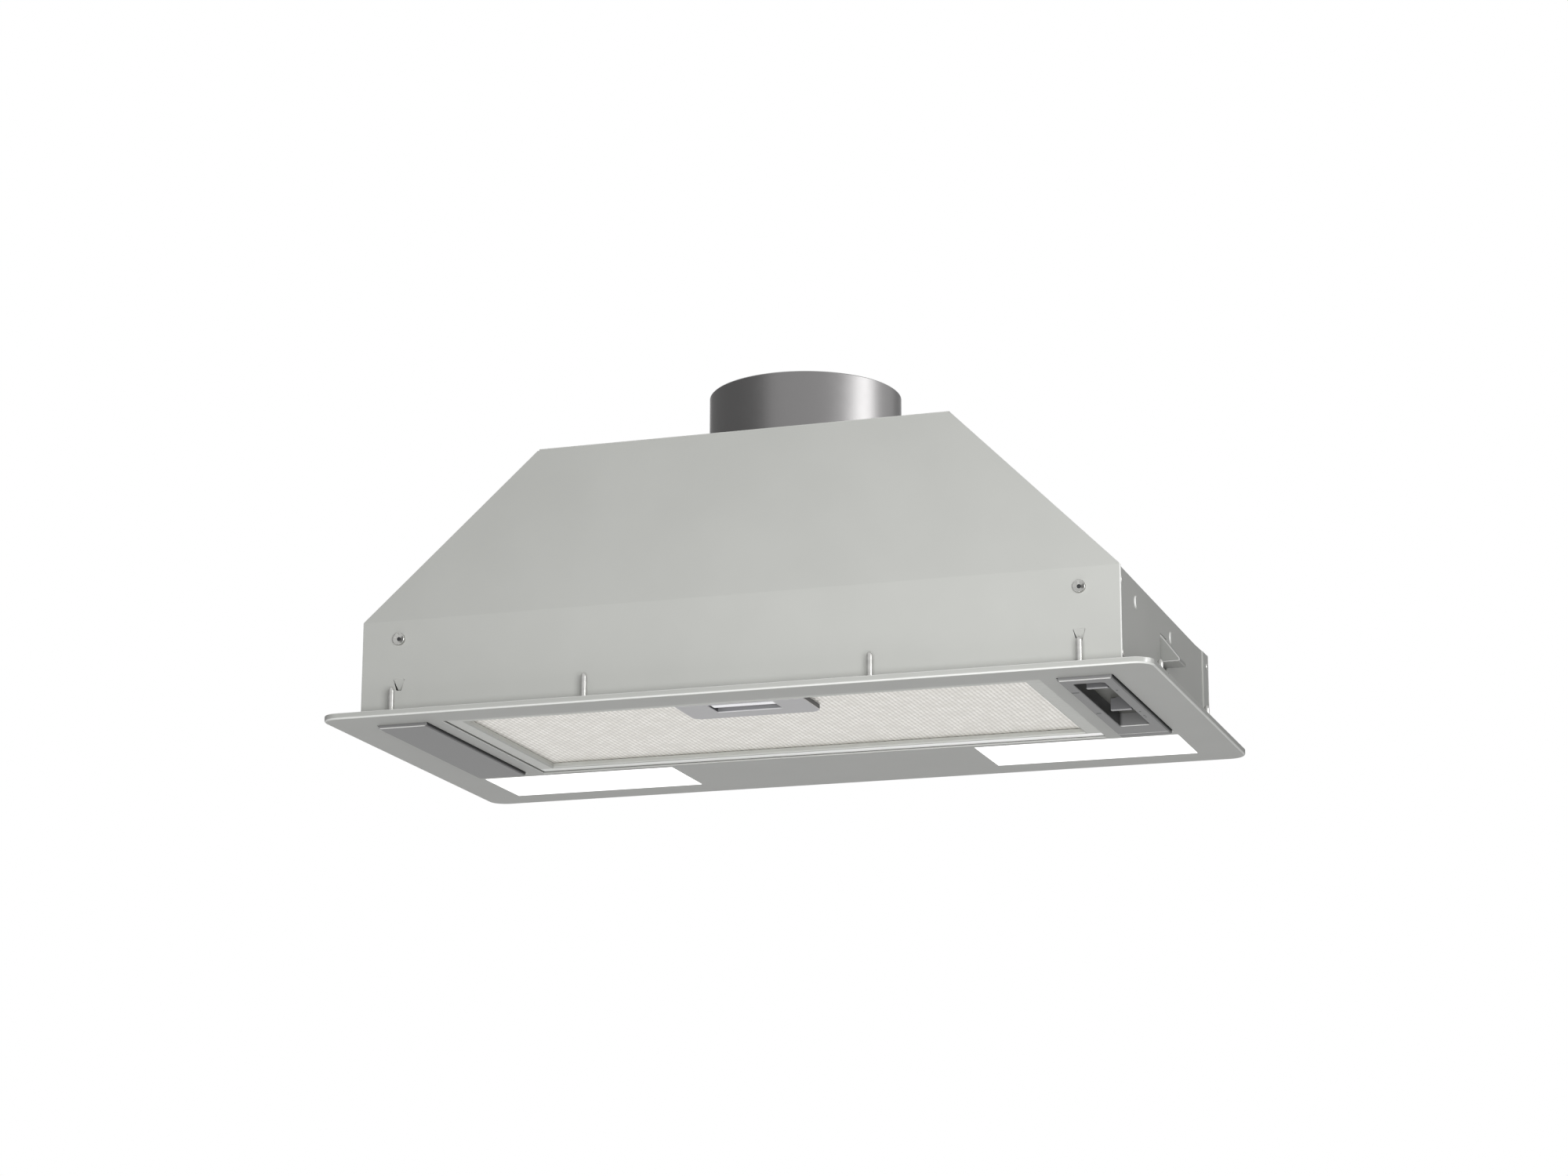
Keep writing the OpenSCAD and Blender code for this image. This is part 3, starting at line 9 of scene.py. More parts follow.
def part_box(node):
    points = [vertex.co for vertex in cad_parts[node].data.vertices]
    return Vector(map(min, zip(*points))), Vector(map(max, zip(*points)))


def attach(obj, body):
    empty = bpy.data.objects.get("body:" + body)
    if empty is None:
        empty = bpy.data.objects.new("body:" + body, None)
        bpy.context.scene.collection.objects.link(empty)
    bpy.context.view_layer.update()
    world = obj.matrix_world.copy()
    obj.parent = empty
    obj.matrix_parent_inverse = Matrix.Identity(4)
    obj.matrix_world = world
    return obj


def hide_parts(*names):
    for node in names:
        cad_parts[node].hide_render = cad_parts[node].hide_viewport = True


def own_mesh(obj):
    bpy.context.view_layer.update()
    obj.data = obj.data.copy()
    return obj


# Built-in canopy range hood, dressed round its CAD frame. Everything is in metres.
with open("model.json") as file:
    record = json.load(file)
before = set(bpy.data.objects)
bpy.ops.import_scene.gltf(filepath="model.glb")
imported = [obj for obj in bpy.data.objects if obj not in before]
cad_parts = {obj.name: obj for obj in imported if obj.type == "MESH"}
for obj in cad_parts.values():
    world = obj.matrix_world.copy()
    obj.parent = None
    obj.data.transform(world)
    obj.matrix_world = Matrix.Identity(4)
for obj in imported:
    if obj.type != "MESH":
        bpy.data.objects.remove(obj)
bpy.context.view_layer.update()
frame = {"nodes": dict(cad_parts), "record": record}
nodes = frame["nodes"]
mm = 0.001
print("frame loaded:", len(nodes), "nodes")


# Small helpers

def linear(hexColour):
    parts = [int(hexColour[i:i + 2], 16) / 255 for i in (1, 3, 5)]
    return (*(c / 12.92 if c <= 0.04045 else ((c + 0.055) / 1.055) ** 2.4 for c in parts), 1.0)


def addNode(tree, kind, settings=None, links=None):
    # settings are properties or socket values, links say which output feeds which socket
    node = tree.nodes.new(kind)
    for key, value in (settings or {}).items():
        if hasattr(node, str(key)):
            setattr(node, key, value)
        else:
            node.inputs[key].default_value = value
    for socket, source in (links or {}).items():
        tree.links.new(source, node.inputs[socket])
    return node


def newMaterial(name, settings):
    material = bpy.data.materials.new(name)
    material.use_nodes = True
    tree = material.node_tree
    shader = tree.nodes["Principled BSDF"]
    for key, value in settings.items():
        shader.inputs[key].default_value = value
    place = addNode(tree, "ShaderNodeTexCoord").outputs["Object"]
    return material, tree, shader, place


def mottle(tree, shader, place, colours, size, detail=3.0, stretch=(1, 1, 1), limits=(0.35, 0.65)):
    # colour that drifts between two shades over patches of the given size; limits hold the pure shades
    spread = addNode(tree, "ShaderNodeMapping", {"Scale": stretch}, {"Vector": place})
    noise = addNode(tree, "ShaderNodeTexNoise", {"Scale": 1 / size, "Detail": detail},
                    {"Vector": spread.outputs["Vector"]})
    ramp = addNode(tree, "ShaderNodeValToRGB", links={"Fac": noise.outputs["Fac"]})
    for element, limit, colour in zip(ramp.color_ramp.elements, limits, colours):
        element.position = limit
        element.color = linear(colour)
    tree.links.new(ramp.outputs["Color"], shader.inputs["Base Color"])
    return noise


def grain(tree, shader, place, size, depth, strength, stretch=(1, 1, 1), sheen=None):
    # fine relief: size is the width of one grain, depth its height, sheen the roughness from hollow to top
    spread = addNode(tree, "ShaderNodeMapping", {"Scale": stretch}, {"Vector": place})
    noise = addNode(tree, "ShaderNodeTexNoise", {"Scale": 1 / size, "Detail": 2.0},
                    {"Vector": spread.outputs["Vector"]})
    bump = addNode(tree, "ShaderNodeBump", {"Strength": strength, "Distance": depth},
                   {"Height": noise.outputs["Fac"]})
    tree.links.new(bump.outputs["Normal"], shader.inputs["Normal"])
    if sheen:
        gloss = addNode(tree, "ShaderNodeMapRange", {"To Min": sheen[0], "To Max": sheen[1]},
                        {"Value": noise.outputs["Fac"]})
        tree.links.new(gloss.outputs["Result"], shader.inputs["Roughness"])


def waveScale(pitch):
    # the Wave texture repeats 20 / (2 pi) times in a metre at a scale of 1
    return 2 * pi / 20 / pitch


# two squared parts of the normal, multiplied: 0 on a level face, 0.25 half-way round an edge
edgeTurn = (0.04, 0.14)


def edgeMask(tree, first, second=None):
    # 1 half-way round a rounded edge between two level faces, 0 on the faces themselves
    normal = addNode(tree, "ShaderNodeTexCoord").outputs["Normal"]
    parts = addNode(tree, "ShaderNodeSeparateXYZ", links={"Vector": normal}).outputs
    square = addNode(tree, "ShaderNodeMath", {"operation": "MULTIPLY"},
                     {0: parts[first], 1: parts[first]})
    if second:
        other = addNode(tree, "ShaderNodeMath", {"operation": "MULTIPLY"},
                        {0: parts[second], 1: parts[second]})
    else:  # the two other parts together
        other = addNode(tree, "ShaderNodeMath", {"operation": "SUBTRACT", 0: 1.0},
                        {1: square.outputs[0]})
    product = addNode(tree, "ShaderNodeMath", {"operation": "MULTIPLY"},
                      {0: square.outputs[0], 1: other.outputs[0]})
    return addNode(tree, "ShaderNodeMapRange", {"From Min": edgeTurn[0], "From Max": edgeTurn[1]},
                   {"Value": product.outputs[0]}).outputs["Result"]


# Materials, each named for the real one; some add painted light or shade to its colour

def powderCoat(name, light, dark, roughness, edge=("Z", None), edgeHighlight="#f2f3f0", below=None, gloss=0.0):
    # silver-grey polyester powder coat: a soft sheen, a very fine orange peel, and a painted highlight
    # along its edges
    material, tree, shader, place = newMaterial(
        name, {"IOR": 1.5, "Roughness": roughness, "Coat Roughness": 0.2})
    if gloss:  # the coat flows to a smoother, thicker skin round upright corners
        flow = addNode(tree, "ShaderNodeMath", {"operation": "MULTIPLY", 1: gloss},
                       {0: edgeMask(tree, "X", "Y")})
        tree.links.new(flow.outputs[0], shader.inputs["Coat Weight"])
    mottle(tree, shader, place, (dark, light), size=60 * mm)
    coat = shader.inputs["Base Color"].links[0].from_socket
    if below:  # painted light: the faces that look down, which the lamps barely reach, are coloured paler
        normal = addNode(tree, "ShaderNodeTexCoord").outputs["Normal"]
        rise = addNode(tree, "ShaderNodeSeparateXYZ", links={"Vector": normal}).outputs["Z"]
        isBelow = addNode(tree, "ShaderNodeMapRange", {"From Min": -0.5, "From Max": -0.9}, {"Value": rise})
        paintedLightBelow = addNode(tree, "ShaderNodeMix", {"data_type": "RGBA", "B": linear(below)},
                        {"Factor": isBelow.outputs["Result"], "A": coat})
        coat = paintedLightBelow.outputs["Result"]
    # painted highlight: a lighter colour half-way round rounded edges
    highlighted = addNode(tree, "ShaderNodeMix", {"data_type": "RGBA", "B": linear(edgeHighlight)},
                    {"Factor": edgeMask(tree, *edge), "A": coat})
    tree.links.new(highlighted.outputs["Result"], shader.inputs["Base Color"])
    grain(tree, shader, place, size=0.9 * mm, depth=0.02 * mm, strength=0.35,
          sheen=(roughness - 0.05, roughness + 0.05))
    return material


def zincPlate(name, light, dark, roughness, spangle=4 * mm):
    # zinc plated sheet: a metal with faint crystals a few millimetres wide
    material, tree, shader, place = newMaterial(name, {"Metallic": 1.0, "Roughness": roughness})
    cells = addNode(tree, "ShaderNodeTexVoronoi", {"Scale": 1 / spangle}, {"Vector": place})
    ramp = addNode(tree, "ShaderNodeValToRGB", links={"Fac": cells.outputs["Color"]})
    ramp.color_ramp.elements[0].color = linear(dark)
    ramp.color_ramp.elements[1].color = linear(light)
    tree.links.new(ramp.outputs["Color"], shader.inputs["Base Color"])
    grain(tree, shader, place, size=0.6 * mm, depth=0.01 * mm, strength=0.3,
          sheen=(roughness - 0.06, roughness + 0.08))
    return material


def brushedMetal(name, light, dark, roughness, stretch, lineWidth=0.35 * mm, metallic=1.0):
    # rolled or brushed metal: fine lines along one direction; an anodised skin is less metallic
    material, tree, shader, place = newMaterial(name, {"Metallic": metallic, "Roughness": roughness})
    mottle(tree, shader, place, (dark, light), size=8 * mm, detail=2.0, stretch=stretch)
    grain(tree, shader, place, size=lineWidth, depth=0.006 * mm, strength=0.35, stretch=stretch,
          sheen=(roughness - 0.05, roughness + 0.08))
    return material


def paintedLightBar(name, left, right, reach, roughness):
    # anodised bar with painted light: brighter towards its right end, where more light falls
    material, tree, shader, place = newMaterial(name, {"Metallic": 0.85, "Roughness": roughness})
    along = addNode(tree, "ShaderNodeSeparateXYZ", links={"Vector": place})
    share = addNode(tree, "ShaderNodeMapRange", {"From Min": -reach, "From Max": reach},
                    {"Value": along.outputs["X"]})
    paintedRightLight = addNode(tree, "ShaderNodeMix", {"data_type": "RGBA", "A": linear(left), "B": linear(right)},
                     {"Factor": share.outputs["Result"]})
    tree.links.new(paintedRightLight.outputs["Result"], shader.inputs["Base Color"])
    grain(tree, shader, place, size=0.35 * mm, depth=0.006 * mm, strength=0.35, stretch=(1, 8, 8),
          sheen=(roughness - 0.05, roughness + 0.08))
    return material


def rolledSteel(name, colour, roughness):
    # smooth galvanised sheet, rolled round: an even sheen with faint cloudiness
    material, tree, shader, place = newMaterial(name, {"Metallic": 1.0, "Base Color": linear(colour)})
    grain(tree, shader, place, size=6 * mm, depth=0.01 * mm, strength=0.2,
          sheen=(roughness - 0.02, roughness + 0.04))
    return material


def mouldedPlastic(name, light, dark, roughness, texture=0.45 * mm):
    # spark-eroded mould finish: a fine even grain
    material, tree, shader, place = newMaterial(name, {"IOR": 1.49, "Roughness": roughness})
    mottle(tree, shader, place, (dark, light), size=30 * mm)
    grain(tree, shader, place, size=texture, depth=0.02 * mm, strength=0.5,
          sheen=(roughness - 0.06, roughness + 0.06))
    return material


def paintedShadeAbs(name, face, front, wall, edge, faceTop, roughness, turn=(0.4, 0.8)):
    # grey ABS with painted light and shade: the lower face keeps its own colour, the walls are painted dark
    # as shade, walls that look forward are painted lighter as lit, and a painted highlight runs along the
    # front edges of the lower face; turn is how far a wall has to look forward for the painted light to
    # start and to be full
    material, tree, shader, place = newMaterial(name, {"IOR": 1.49, "Roughness": roughness})
    normal = addNode(tree, "ShaderNodeTexCoord").outputs["Normal"]
    facing = addNode(tree, "ShaderNodeSeparateXYZ", links={"Vector": normal})
    heights = addNode(tree, "ShaderNodeSeparateXYZ", links={"Vector": place})
    isFront = addNode(tree, "ShaderNodeMapRange", {"From Min": -turn[0], "From Max": -turn[1]},
                      {"Value": facing.outputs["Y"]})
    isFace = addNode(tree, "ShaderNodeMapRange", {"From Min": faceTop + 0.3 * mm, "From Max": faceTop},
                     {"Value": heights.outputs["Z"]})
    paintedWallShade = addNode(tree, "ShaderNodeMix", {"data_type": "RGBA", "A": linear(wall), "B": linear(front)},
                     {"Factor": isFront.outputs["Result"]})
    paintedEdgeHighlight = addNode(tree, "ShaderNodeMix", {"data_type": "RGBA", "A": linear(face), "B": linear(edge)},
                    {"Factor": edgeMask(tree, "Y", "Z")})
    paintedShading = addNode(tree, "ShaderNodeMix", {"data_type": "RGBA"},
                      {"Factor": isFace.outputs["Result"], "A": paintedWallShade.outputs["Result"],
                       "B": paintedEdgeHighlight.outputs["Result"]})
    tree.links.new(paintedShading.outputs["Result"], shader.inputs["Base Color"])
    grain(tree, shader, place, size=0.3 * mm, depth=0.02 * mm, strength=0.5,
          sheen=(roughness - 0.06, roughness + 0.06))
    return material


def opalAcrylic(name):
    # opal acrylic in front of lit lamps: an even white glow, slightly softer at the chips' pitch
    material, tree, shader, place = newMaterial(name, {"Roughness": 0.35, "IOR": 1.49})
    noise = mottle(tree, shader, place, ("#fbfbf8", "#ffffff"), size=9 * mm)
    glow = addNode(tree, "ShaderNodeMapRange", {"To Min": 0.98, "To Max": 1.04},
                   {"Value": noise.outputs["Fac"]})
    shader.inputs["Emission Color"].default_value = linear("#ffffff")
    tree.links.new(glow.outputs["Result"], shader.inputs["Emission Strength"])
    return material


def laminatedSteel(name):
    # stacked varnished sheets, 0.5 mm each, drawn 1 mm thick so that they show
    material, tree, shader, place = newMaterial(name, {"Metallic": 0.9, "Roughness": 0.45})
    bands = addNode(tree, "ShaderNodeTexWave", {"Scale": waveScale(1 * mm), "bands_direction": "X"},
                    {"Vector": place})
    ramp = addNode(tree, "ShaderNodeValToRGB", links={"Fac": bands.outputs["Fac"]})
    ramp.color_ramp.elements[0].color = linear("#5c5e62")
    ramp.color_ramp.elements[1].color = linear("#8d8f92")
    tree.links.new(ramp.outputs["Color"], shader.inputs["Base Color"])
    return material


def solderMask(name, light, dark):
    # epoxy board: glossy mask over copper tracks, in rows 3.5 mm apart
    material, tree, shader, place = newMaterial(name, {"Roughness": 0.3, "IOR": 1.55})
    tracks = addNode(tree, "ShaderNodeTexBrick", {"Scale": 1 / (14 * mm), "Mortar Size": 0.03,
                                                 "Color1": linear(light), "Color2": linear(light),
                                                 "Mortar": linear(dark)}, {"Vector": place})
    tree.links.new(tracks.outputs["Color"], shader.inputs["Base Color"])
    return material


def expandedSheet(name, light, dark, roughness):
    # flattened expanded aluminium: rows of painted light and shade 3 mm apart, where twisted strands catch
    # the light
    material, tree, shader, place = newMaterial(name, {"Metallic": 0.9, "Roughness": roughness})
    rows = addNode(tree, "ShaderNodeTexWave", {"Scale": waveScale(3 * mm), "bands_direction": "X",
                                               "Distortion": 1.2, "Detail": 2.0, "Detail Scale": 1.0},
                   {"Vector": place})
    patches = addNode(tree, "ShaderNodeTexNoise", {"Scale": 1 / (9 * mm), "Detail": 4.0}, {"Vector": place})
    uneven = addNode(tree, "ShaderNodeMapRange", {"From Min": 0.4, "From Max": 0.62, "To Min": 0.45},
                     {"Value": patches.outputs["Fac"]})
    shade = addNode(tree, "ShaderNodeMath", {"operation": "MULTIPLY"},
                    {0: rows.outputs["Fac"], 1: uneven.outputs["Result"]})
    paintedRows = addNode(tree, "ShaderNodeMix", {"data_type": "RGBA", "A": linear(dark), "B": linear(light)},
                      {"Factor": shade.outputs[0]})
    tree.links.new(paintedRows.outputs["Result"], shader.inputs["Base Color"])
    grain(tree, shader, place, size=0.35 * mm, depth=0.006 * mm, strength=0.35)
    return material


def knittedLayers(name):
    # grease layers of knitted aluminium: bright wire rows 3 mm apart, uneven from stretching
    material, tree, shader, place = newMaterial(name, {"Metallic": 0.9, "Roughness": 0.5})
    rows = addNode(tree, "ShaderNodeTexWave", {"Scale": waveScale(3 * mm), "bands_direction": "X",
                                               "Distortion": 1.5, "Detail": 2.0, "Detail Scale": 1.5},
                   {"Vector": place})
    ramp = addNode(tree, "ShaderNodeValToRGB", links={"Fac": rows.outputs["Fac"]})
    ramp.color_ramp.elements[0].color = linear("#d2cfca")
    ramp.color_ramp.elements[1].color = linear("#e0ddd8")
    tree.links.new(ramp.outputs["Color"], shader.inputs["Base Color"])
    grain(tree, shader, place, size=0.5 * mm, depth=0.1 * mm, strength=0.5, stretch=(1, 0.4, 1))
    return material


finishes = {
    # painted highlights: the plate's coat on its level edges, the housing's on its upright corners
    "plate_steel": powderCoat("silverGreyPowderCoatPlate", "#bfc0bc", "#bcbdb9", roughness=0.42, gloss=0.5),
    "housing_steel": powderCoat("silverGreyPowderCoat", "#c8c9c5", "#c5c6c2", roughness=0.5,
                                edge=("X", "Y")),
    "zinc_steel": zincPlate("zincPlatedSheet", "#b3b4b1", "#9c9d9a", roughness=0.42),
    "screw_steel": zincPlate("zincPlatedScrew", "#bcbcb9", "#aaaaa7", roughness=0.26, spangle=1.5 * mm),
    "dark_screw": zincPlate("blackZincScrew", "#5a5a58", "#464645", roughness=0.35, spangle=1.5 * mm),
    "pin_steel": brushedMetal("turnedSteelPin", "#c4c4c1", "#b6b6b3", roughness=0.3, stretch=(1, 1, 3),
                              metallic=0.55),
    "shaft_steel": brushedMetal("groundSteelShaft", "#bdbdbd", "#a9a9a9", roughness=0.25,
                                stretch=(9, 1, 1)),
    # the silver-grey coat made darker as painted shade, with painted light on faces that look down and a
    # painted highlight on its edges
    "spring_steel": powderCoat("silverGreyCoatedSpringSteel", "#9d9e9b", "#999a97", roughness=0.5,
                               edge=("Y", None), edgeHighlight="#d0d0ce", below="#e4e4e2"),
    "collar_steel": rolledSteel("rolledSteelCollar", "#828181", roughness=0.34),
    "filter_alloy": brushedMetal("anodisedFilterFrame", "#d3d4d0", "#cacbc7", roughness=0.5,
                                 stretch=(1, 8, 8), metallic=0.35),
    "mesh_alloy": expandedSheet("expandedAluminiumMesh", "#f2f0ec", "#d9d6d0", roughness=0.42),
    # painted shade: a darker copy of the frame's finish for its rolled lip and inner walls
    "lip_alloy": brushedMetal("anodisedFilterLip", "#b8b9b5", "#b2b3af", roughness=0.55,
                              stretch=(1, 8, 8), metallic=0.35),
    # painted light: the rear bar brighter towards its right end
    "bar_alloy": paintedLightBar("anodisedRearBar", "#d2d3d0", "#ffffff", reach=190 * mm, roughness=0.3),
    "latch_metal": brushedMetal("anodisedPullBar", "#eeeef0", "#e4e4e7", roughness=0.26,
                                stretch=(1, 10, 10)),
    "lamp_alloy": brushedMetal("pressedLampBox", "#b6b8ba", "#a6a8aa", roughness=0.45, stretch=(1, 6, 6)),
    "motor_alloy": brushedMetal("diecastMotorCan", "#adafb1", "#97999b", roughness=0.5,
                                stretch=(1, 1, 1), lineWidth=0.8 * mm),
    "bearing_bronze": brushedMetal("sinteredBronze", "#b89562", "#a07c48", roughness=0.4,
                                   stretch=(4, 1, 1)),
    "core_steel": laminatedSteel("laminatedElectricalSteel"),
    "rubber": mouldedPlastic("blackRubber", "#232324", "#1a1a1b", roughness=0.75),
    "dark_plastic": mouldedPlastic("darkGreyAbs", "#434446", "#38393b", roughness=0.5),
    "casing_plastic": mouldedPlastic("greyPolypropylene", "#515254", "#464749", roughness=0.55,
                                     texture=0.8 * mm),
    "wheel_plastic": mouldedPlastic("blackNylonWheel", "#343537", "#2a2b2d", roughness=0.5),
    "white_plastic": mouldedPlastic("whitePolypropylene", "#e9e7e0", "#dedcd5", roughness=0.45),
    "ivory_plastic": mouldedPlastic("ivoryPolyamide", "#dedbce", "#d2cfc1", roughness=0.5),
    "black_plastic": mouldedPlastic("blackPolyamide", "#3b3c3e", "#323335", roughness=0.5),
    # painted shade on walls, painted light on walls that look forward, painted highlights on front edges
    "panel_plastic": paintedShadeAbs("greyFacedAbsPanel", "#636363", "#8a8a8a", "#29292b", "#f4f4f2",
                              faceTop=0.4 * mm, roughness=0.36, turn=(0.1, 1.0)),
    "track_plastic": mouldedPlastic("greyAbsTrack", "#74746f", "#6c6c67", roughness=0.5),
    "slider_plastic": paintedShadeAbs("greyFacedAbsSlider", "#77777a", "#7c7c7e", "#4a4a4d", "#ffffff",
                               faceTop=1.1 * mm, roughness=0.34),
    "latch_plastic": paintedShadeAbs("lilacGreyFacedAbs", "#d4d3d5", "#7b7b7d", "#303032", "#f6f6f8",
                              faceTop=3.4 * mm, roughness=0.4, turn=(0.8, 0.95)),
    "board_green": solderMask("greenSolderMask", "#2f6b46", "#4f8a58"),
    "board_white": solderMask("whiteSolderMask", "#f0efe8", "#dcdbd2"),
    "lamp_window": opalAcrylic("opalAcrylicWindow"),
    "filter_fleece": knittedLayers("knittedAluminiumLayers"),
}
slotOf = {part["node"]: part["material_slot"] for part in frame["record"]["subparts"]}
for nodeName, nodeObject in nodes.items():
    nodeObject.data.materials.clear()
    nodeObject.data.materials.append(finishes[slotOf[nodeName]])
print("materials:", len(finishes))


# Pieces

def bodyOf(nodeName):
    return next(body for body, names in frame["record"]["behaviour"]["bodies"].items() if nodeName in names)


touching = 0.01 * mm  # closer than this counts as the same place
fold = {"length": 60 * mm, "least": 3, "most": 15, "tail": 1.5 * mm}  # angles in degrees


def markFolds(data):
    # a shallow fold of a sheet stays a crisp line, round its cut edges as well
    folded = bmesh.new()
    folded.from_mesh(data)
    crisp = set()
    for edge in folded.edges:
        if len(edge.link_faces) == 2 and edge.calc_length() > fold["length"]:
            if fold["least"] < degrees(edge.calc_face_angle()) < fold["most"]:
                crisp.add(edge)
    ends = [v.co.copy() for e in crisp for v in e.verts]
    for edge in folded.edges:
        short = edge.calc_length() < fold["tail"]
        atEnd = short and any((v.co - p).length < fold["tail"] for p in ends for v in edge.verts)
        if edge in crisp or atEnd:
            edge.smooth = False
    folded.to_mesh(data)
    folded.free()


def finishPiece(name, mesh, stands, smoothAngle):
    # the piece takes the place, the body and the finish of the CAD node it stands for
    slotName = slotOf[stands]
    data = bpy.data.meshes.new(name)
    mesh.to_mesh(data)
    mesh.free()
    data.materials.append(finishes[slotName])
    piece = bpy.data.objects.new(name, data)
    bpy.context.scene.collection.objects.link(piece)
    data.shade_smooth()
    data.set_sharp_from_angle(angle=radians(smoothAngle))
    markFolds(data)
    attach(piece, bodyOf(stands))
    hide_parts(stands)
    return piece


melt = {"merge": 0.002 * mm, "flat": 0.4}  # distance, and angle in degrees


def meltedCopy(nodeName):
    # a clean bmesh of a CAD node: doubles merged, flat triangles melted into one face
    mesh = bmesh.new()
    mesh.from_mesh(nodes[nodeName].data)
    bmesh.ops.remove_doubles(mesh, verts=mesh.verts, dist=melt["merge"])
    bmesh.ops.dissolve_limit(mesh, angle_limit=radians(melt["flat"]), verts=mesh.verts, edges=mesh.edges)
    return mesh


def levelFaces(piece):
    # the large faces keep their own direction, so only the rounded edges shade smoothly
    weights = piece.modifiers.new("levelFaces", "WEIGHTED_NORMAL")
    weights.keep_sharp = True
    return piece


easing = {"segments": 2, "sharpest": 35, "smooth": 50}  # angles in degrees


def easedMesh(mesh, radius, sharpest=easing["sharpest"]):
    # every hard edge rounded a little, as a mould or a press leaves it
    hard = [e for e in mesh.edges if len(e.link_faces) == 2 and e.calc_face_angle() > radians(sharpest)]
    bmesh.ops.bevel(mesh, geom=hard, offset=radius, offset_type="OFFSET", affect="EDGES",
                    segments=easing["segments"], profile=0.5, clamp_overlap=True, material=-1)
    return mesh


bend = {"radius": 0.9 * mm, "segments": 3, "shortest": 50 * mm, "reach": 0.5 * mm}


def bentSides(nodeName):
    # the upright edges of the front sheet are bends, rounder than its cut edges
    low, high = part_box(nodeName)
    mesh = meltedCopy(nodeName)
    upright = []
    for edge in mesh.edges:
        points = [v.co for v in edge.verts]
        outer = all(abs(p.x) > high.x - touching and p.y < low.y + bend["reach"] for p in points)
        rise = abs(points[0].z - points[1].z)
        if outer and rise > bend["shortest"] and len(edge.link_faces) == 2:
            upright.append(edge)
    bmesh.ops.bevel(mesh, geom=upright, offset=bend["radius"], offset_type="OFFSET", affect="EDGES",
                    segments=bend["segments"], profile=0.5, clamp_overlap=False, material=-1)
    print("upright bends:", len(upright))
    return mesh


eased = {  # CAD node: rounding of its edges in millimetres
    "face_plate": 0.5,
    "front_panel": 0.45,
    "side_panel_left": 0.3,
    "side_panel_right": 0.3,
    "rear_panel": 0.3,
    "blank_panel": 0.35,
    "latch_housing": 0.3,
    "latch_bar": 1.1,
    "light_slider": 0.7,
    "fan_speed_slider": 0.7,
    "led_driver": 0.8,
    "terminal_lid": 0.4,
}
for nodeName, radius in eased.items():
    words = nodeName.split("_")
    pieceName = words[0] + "".join(w.title() for w in words[1:]) + "Eased"
    shape = bentSides(nodeName) if nodeName == "front_panel" else meltedCopy(nodeName)
    levelFaces(finishPiece(pieceName, easedMesh(shape, radius * mm), nodeName, easing["smooth"]))
print("eased pieces:", len(eased))


clip = {"rounding": 0.9 * mm, "segments": 3, "shortest": 1.5 * mm, "lug": 11.2 * mm, "holeInset": 5.85 * mm,
        "holeReach": 1.5 * mm, "sharpest": 35, "smooth": 50}


def makeSpringClip(side):
    # a pressed lug with rounded outer edges and plain, closed cheeks
    nodeName = "side_clip_" + side
    low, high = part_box(nodeName)
    inward, tip = (-1, high.x) if side == "right" else (1, low.x)
    mesh = meltedCopy(nodeName)
    axis = Vector((tip + inward * clip["holeInset"], low.z + clip["holeInset"]))
    drilled = []
    for face in mesh.faces:
        if all((Vector((v.co.x, v.co.z)) - axis).length < clip["holeReach"] for v in face.verts):
            drilled.append(face)
    bmesh.ops.delete(mesh, geom=drilled, context="FACES")
    rims = [e for e in mesh.edges if len(e.link_faces) == 1]
    filled = bmesh.ops.holes_fill(mesh, edges=rims, sides=0)
    outer = []
    for edge in mesh.edges:
        middle = (edge.verts[0].co + edge.verts[1].co) / 2
        onLug = abs(middle.x - tip) < clip["lug"] and edge.calc_length() > clip["shortest"]
        if onLug and len(edge.link_faces) == 2 and edge.is_convex:
            if degrees(edge.calc_face_angle()) > clip["sharpest"]:
                outer.append(edge)
    bmesh.ops.bevel(mesh, geom=outer, offset=clip["rounding"], offset_type="OFFSET", affect="EDGES",
                    segments=clip["segments"], profile=0.5, clamp_overlap=True, material=-1)
    print("clip", side, "drilled faces", len(drilled), "filled", len(filled["faces"]), "edges", len(outer))
    levelFaces(finishPiece("springClip" + side.title(), mesh, nodeName, clip["smooth"]))


for side in ("left", "right"):
    makeSpringClip(side)


lip = {"roll": 1.5 * mm, "segments": 3, "edges": 0.3 * mm, "edgeSegments": 2, "inset": 3 * mm,
       "wallInset": 4 * mm, "level": 0.05 * mm, "shortest": 60 * mm, "square": 80, "sharpest": 40,
       "barStep": 0.2 * mm, "upright": 0.5, "smooth": 50, "finish": "lip_alloy", "rearFinish": "bar_alloy"}


def within(point, low, high, inset):
    # inside a box's outline by more than the inset
    return low.x + inset < point.x < high.x - inset and low.y + inset < point.y < high.y - inset


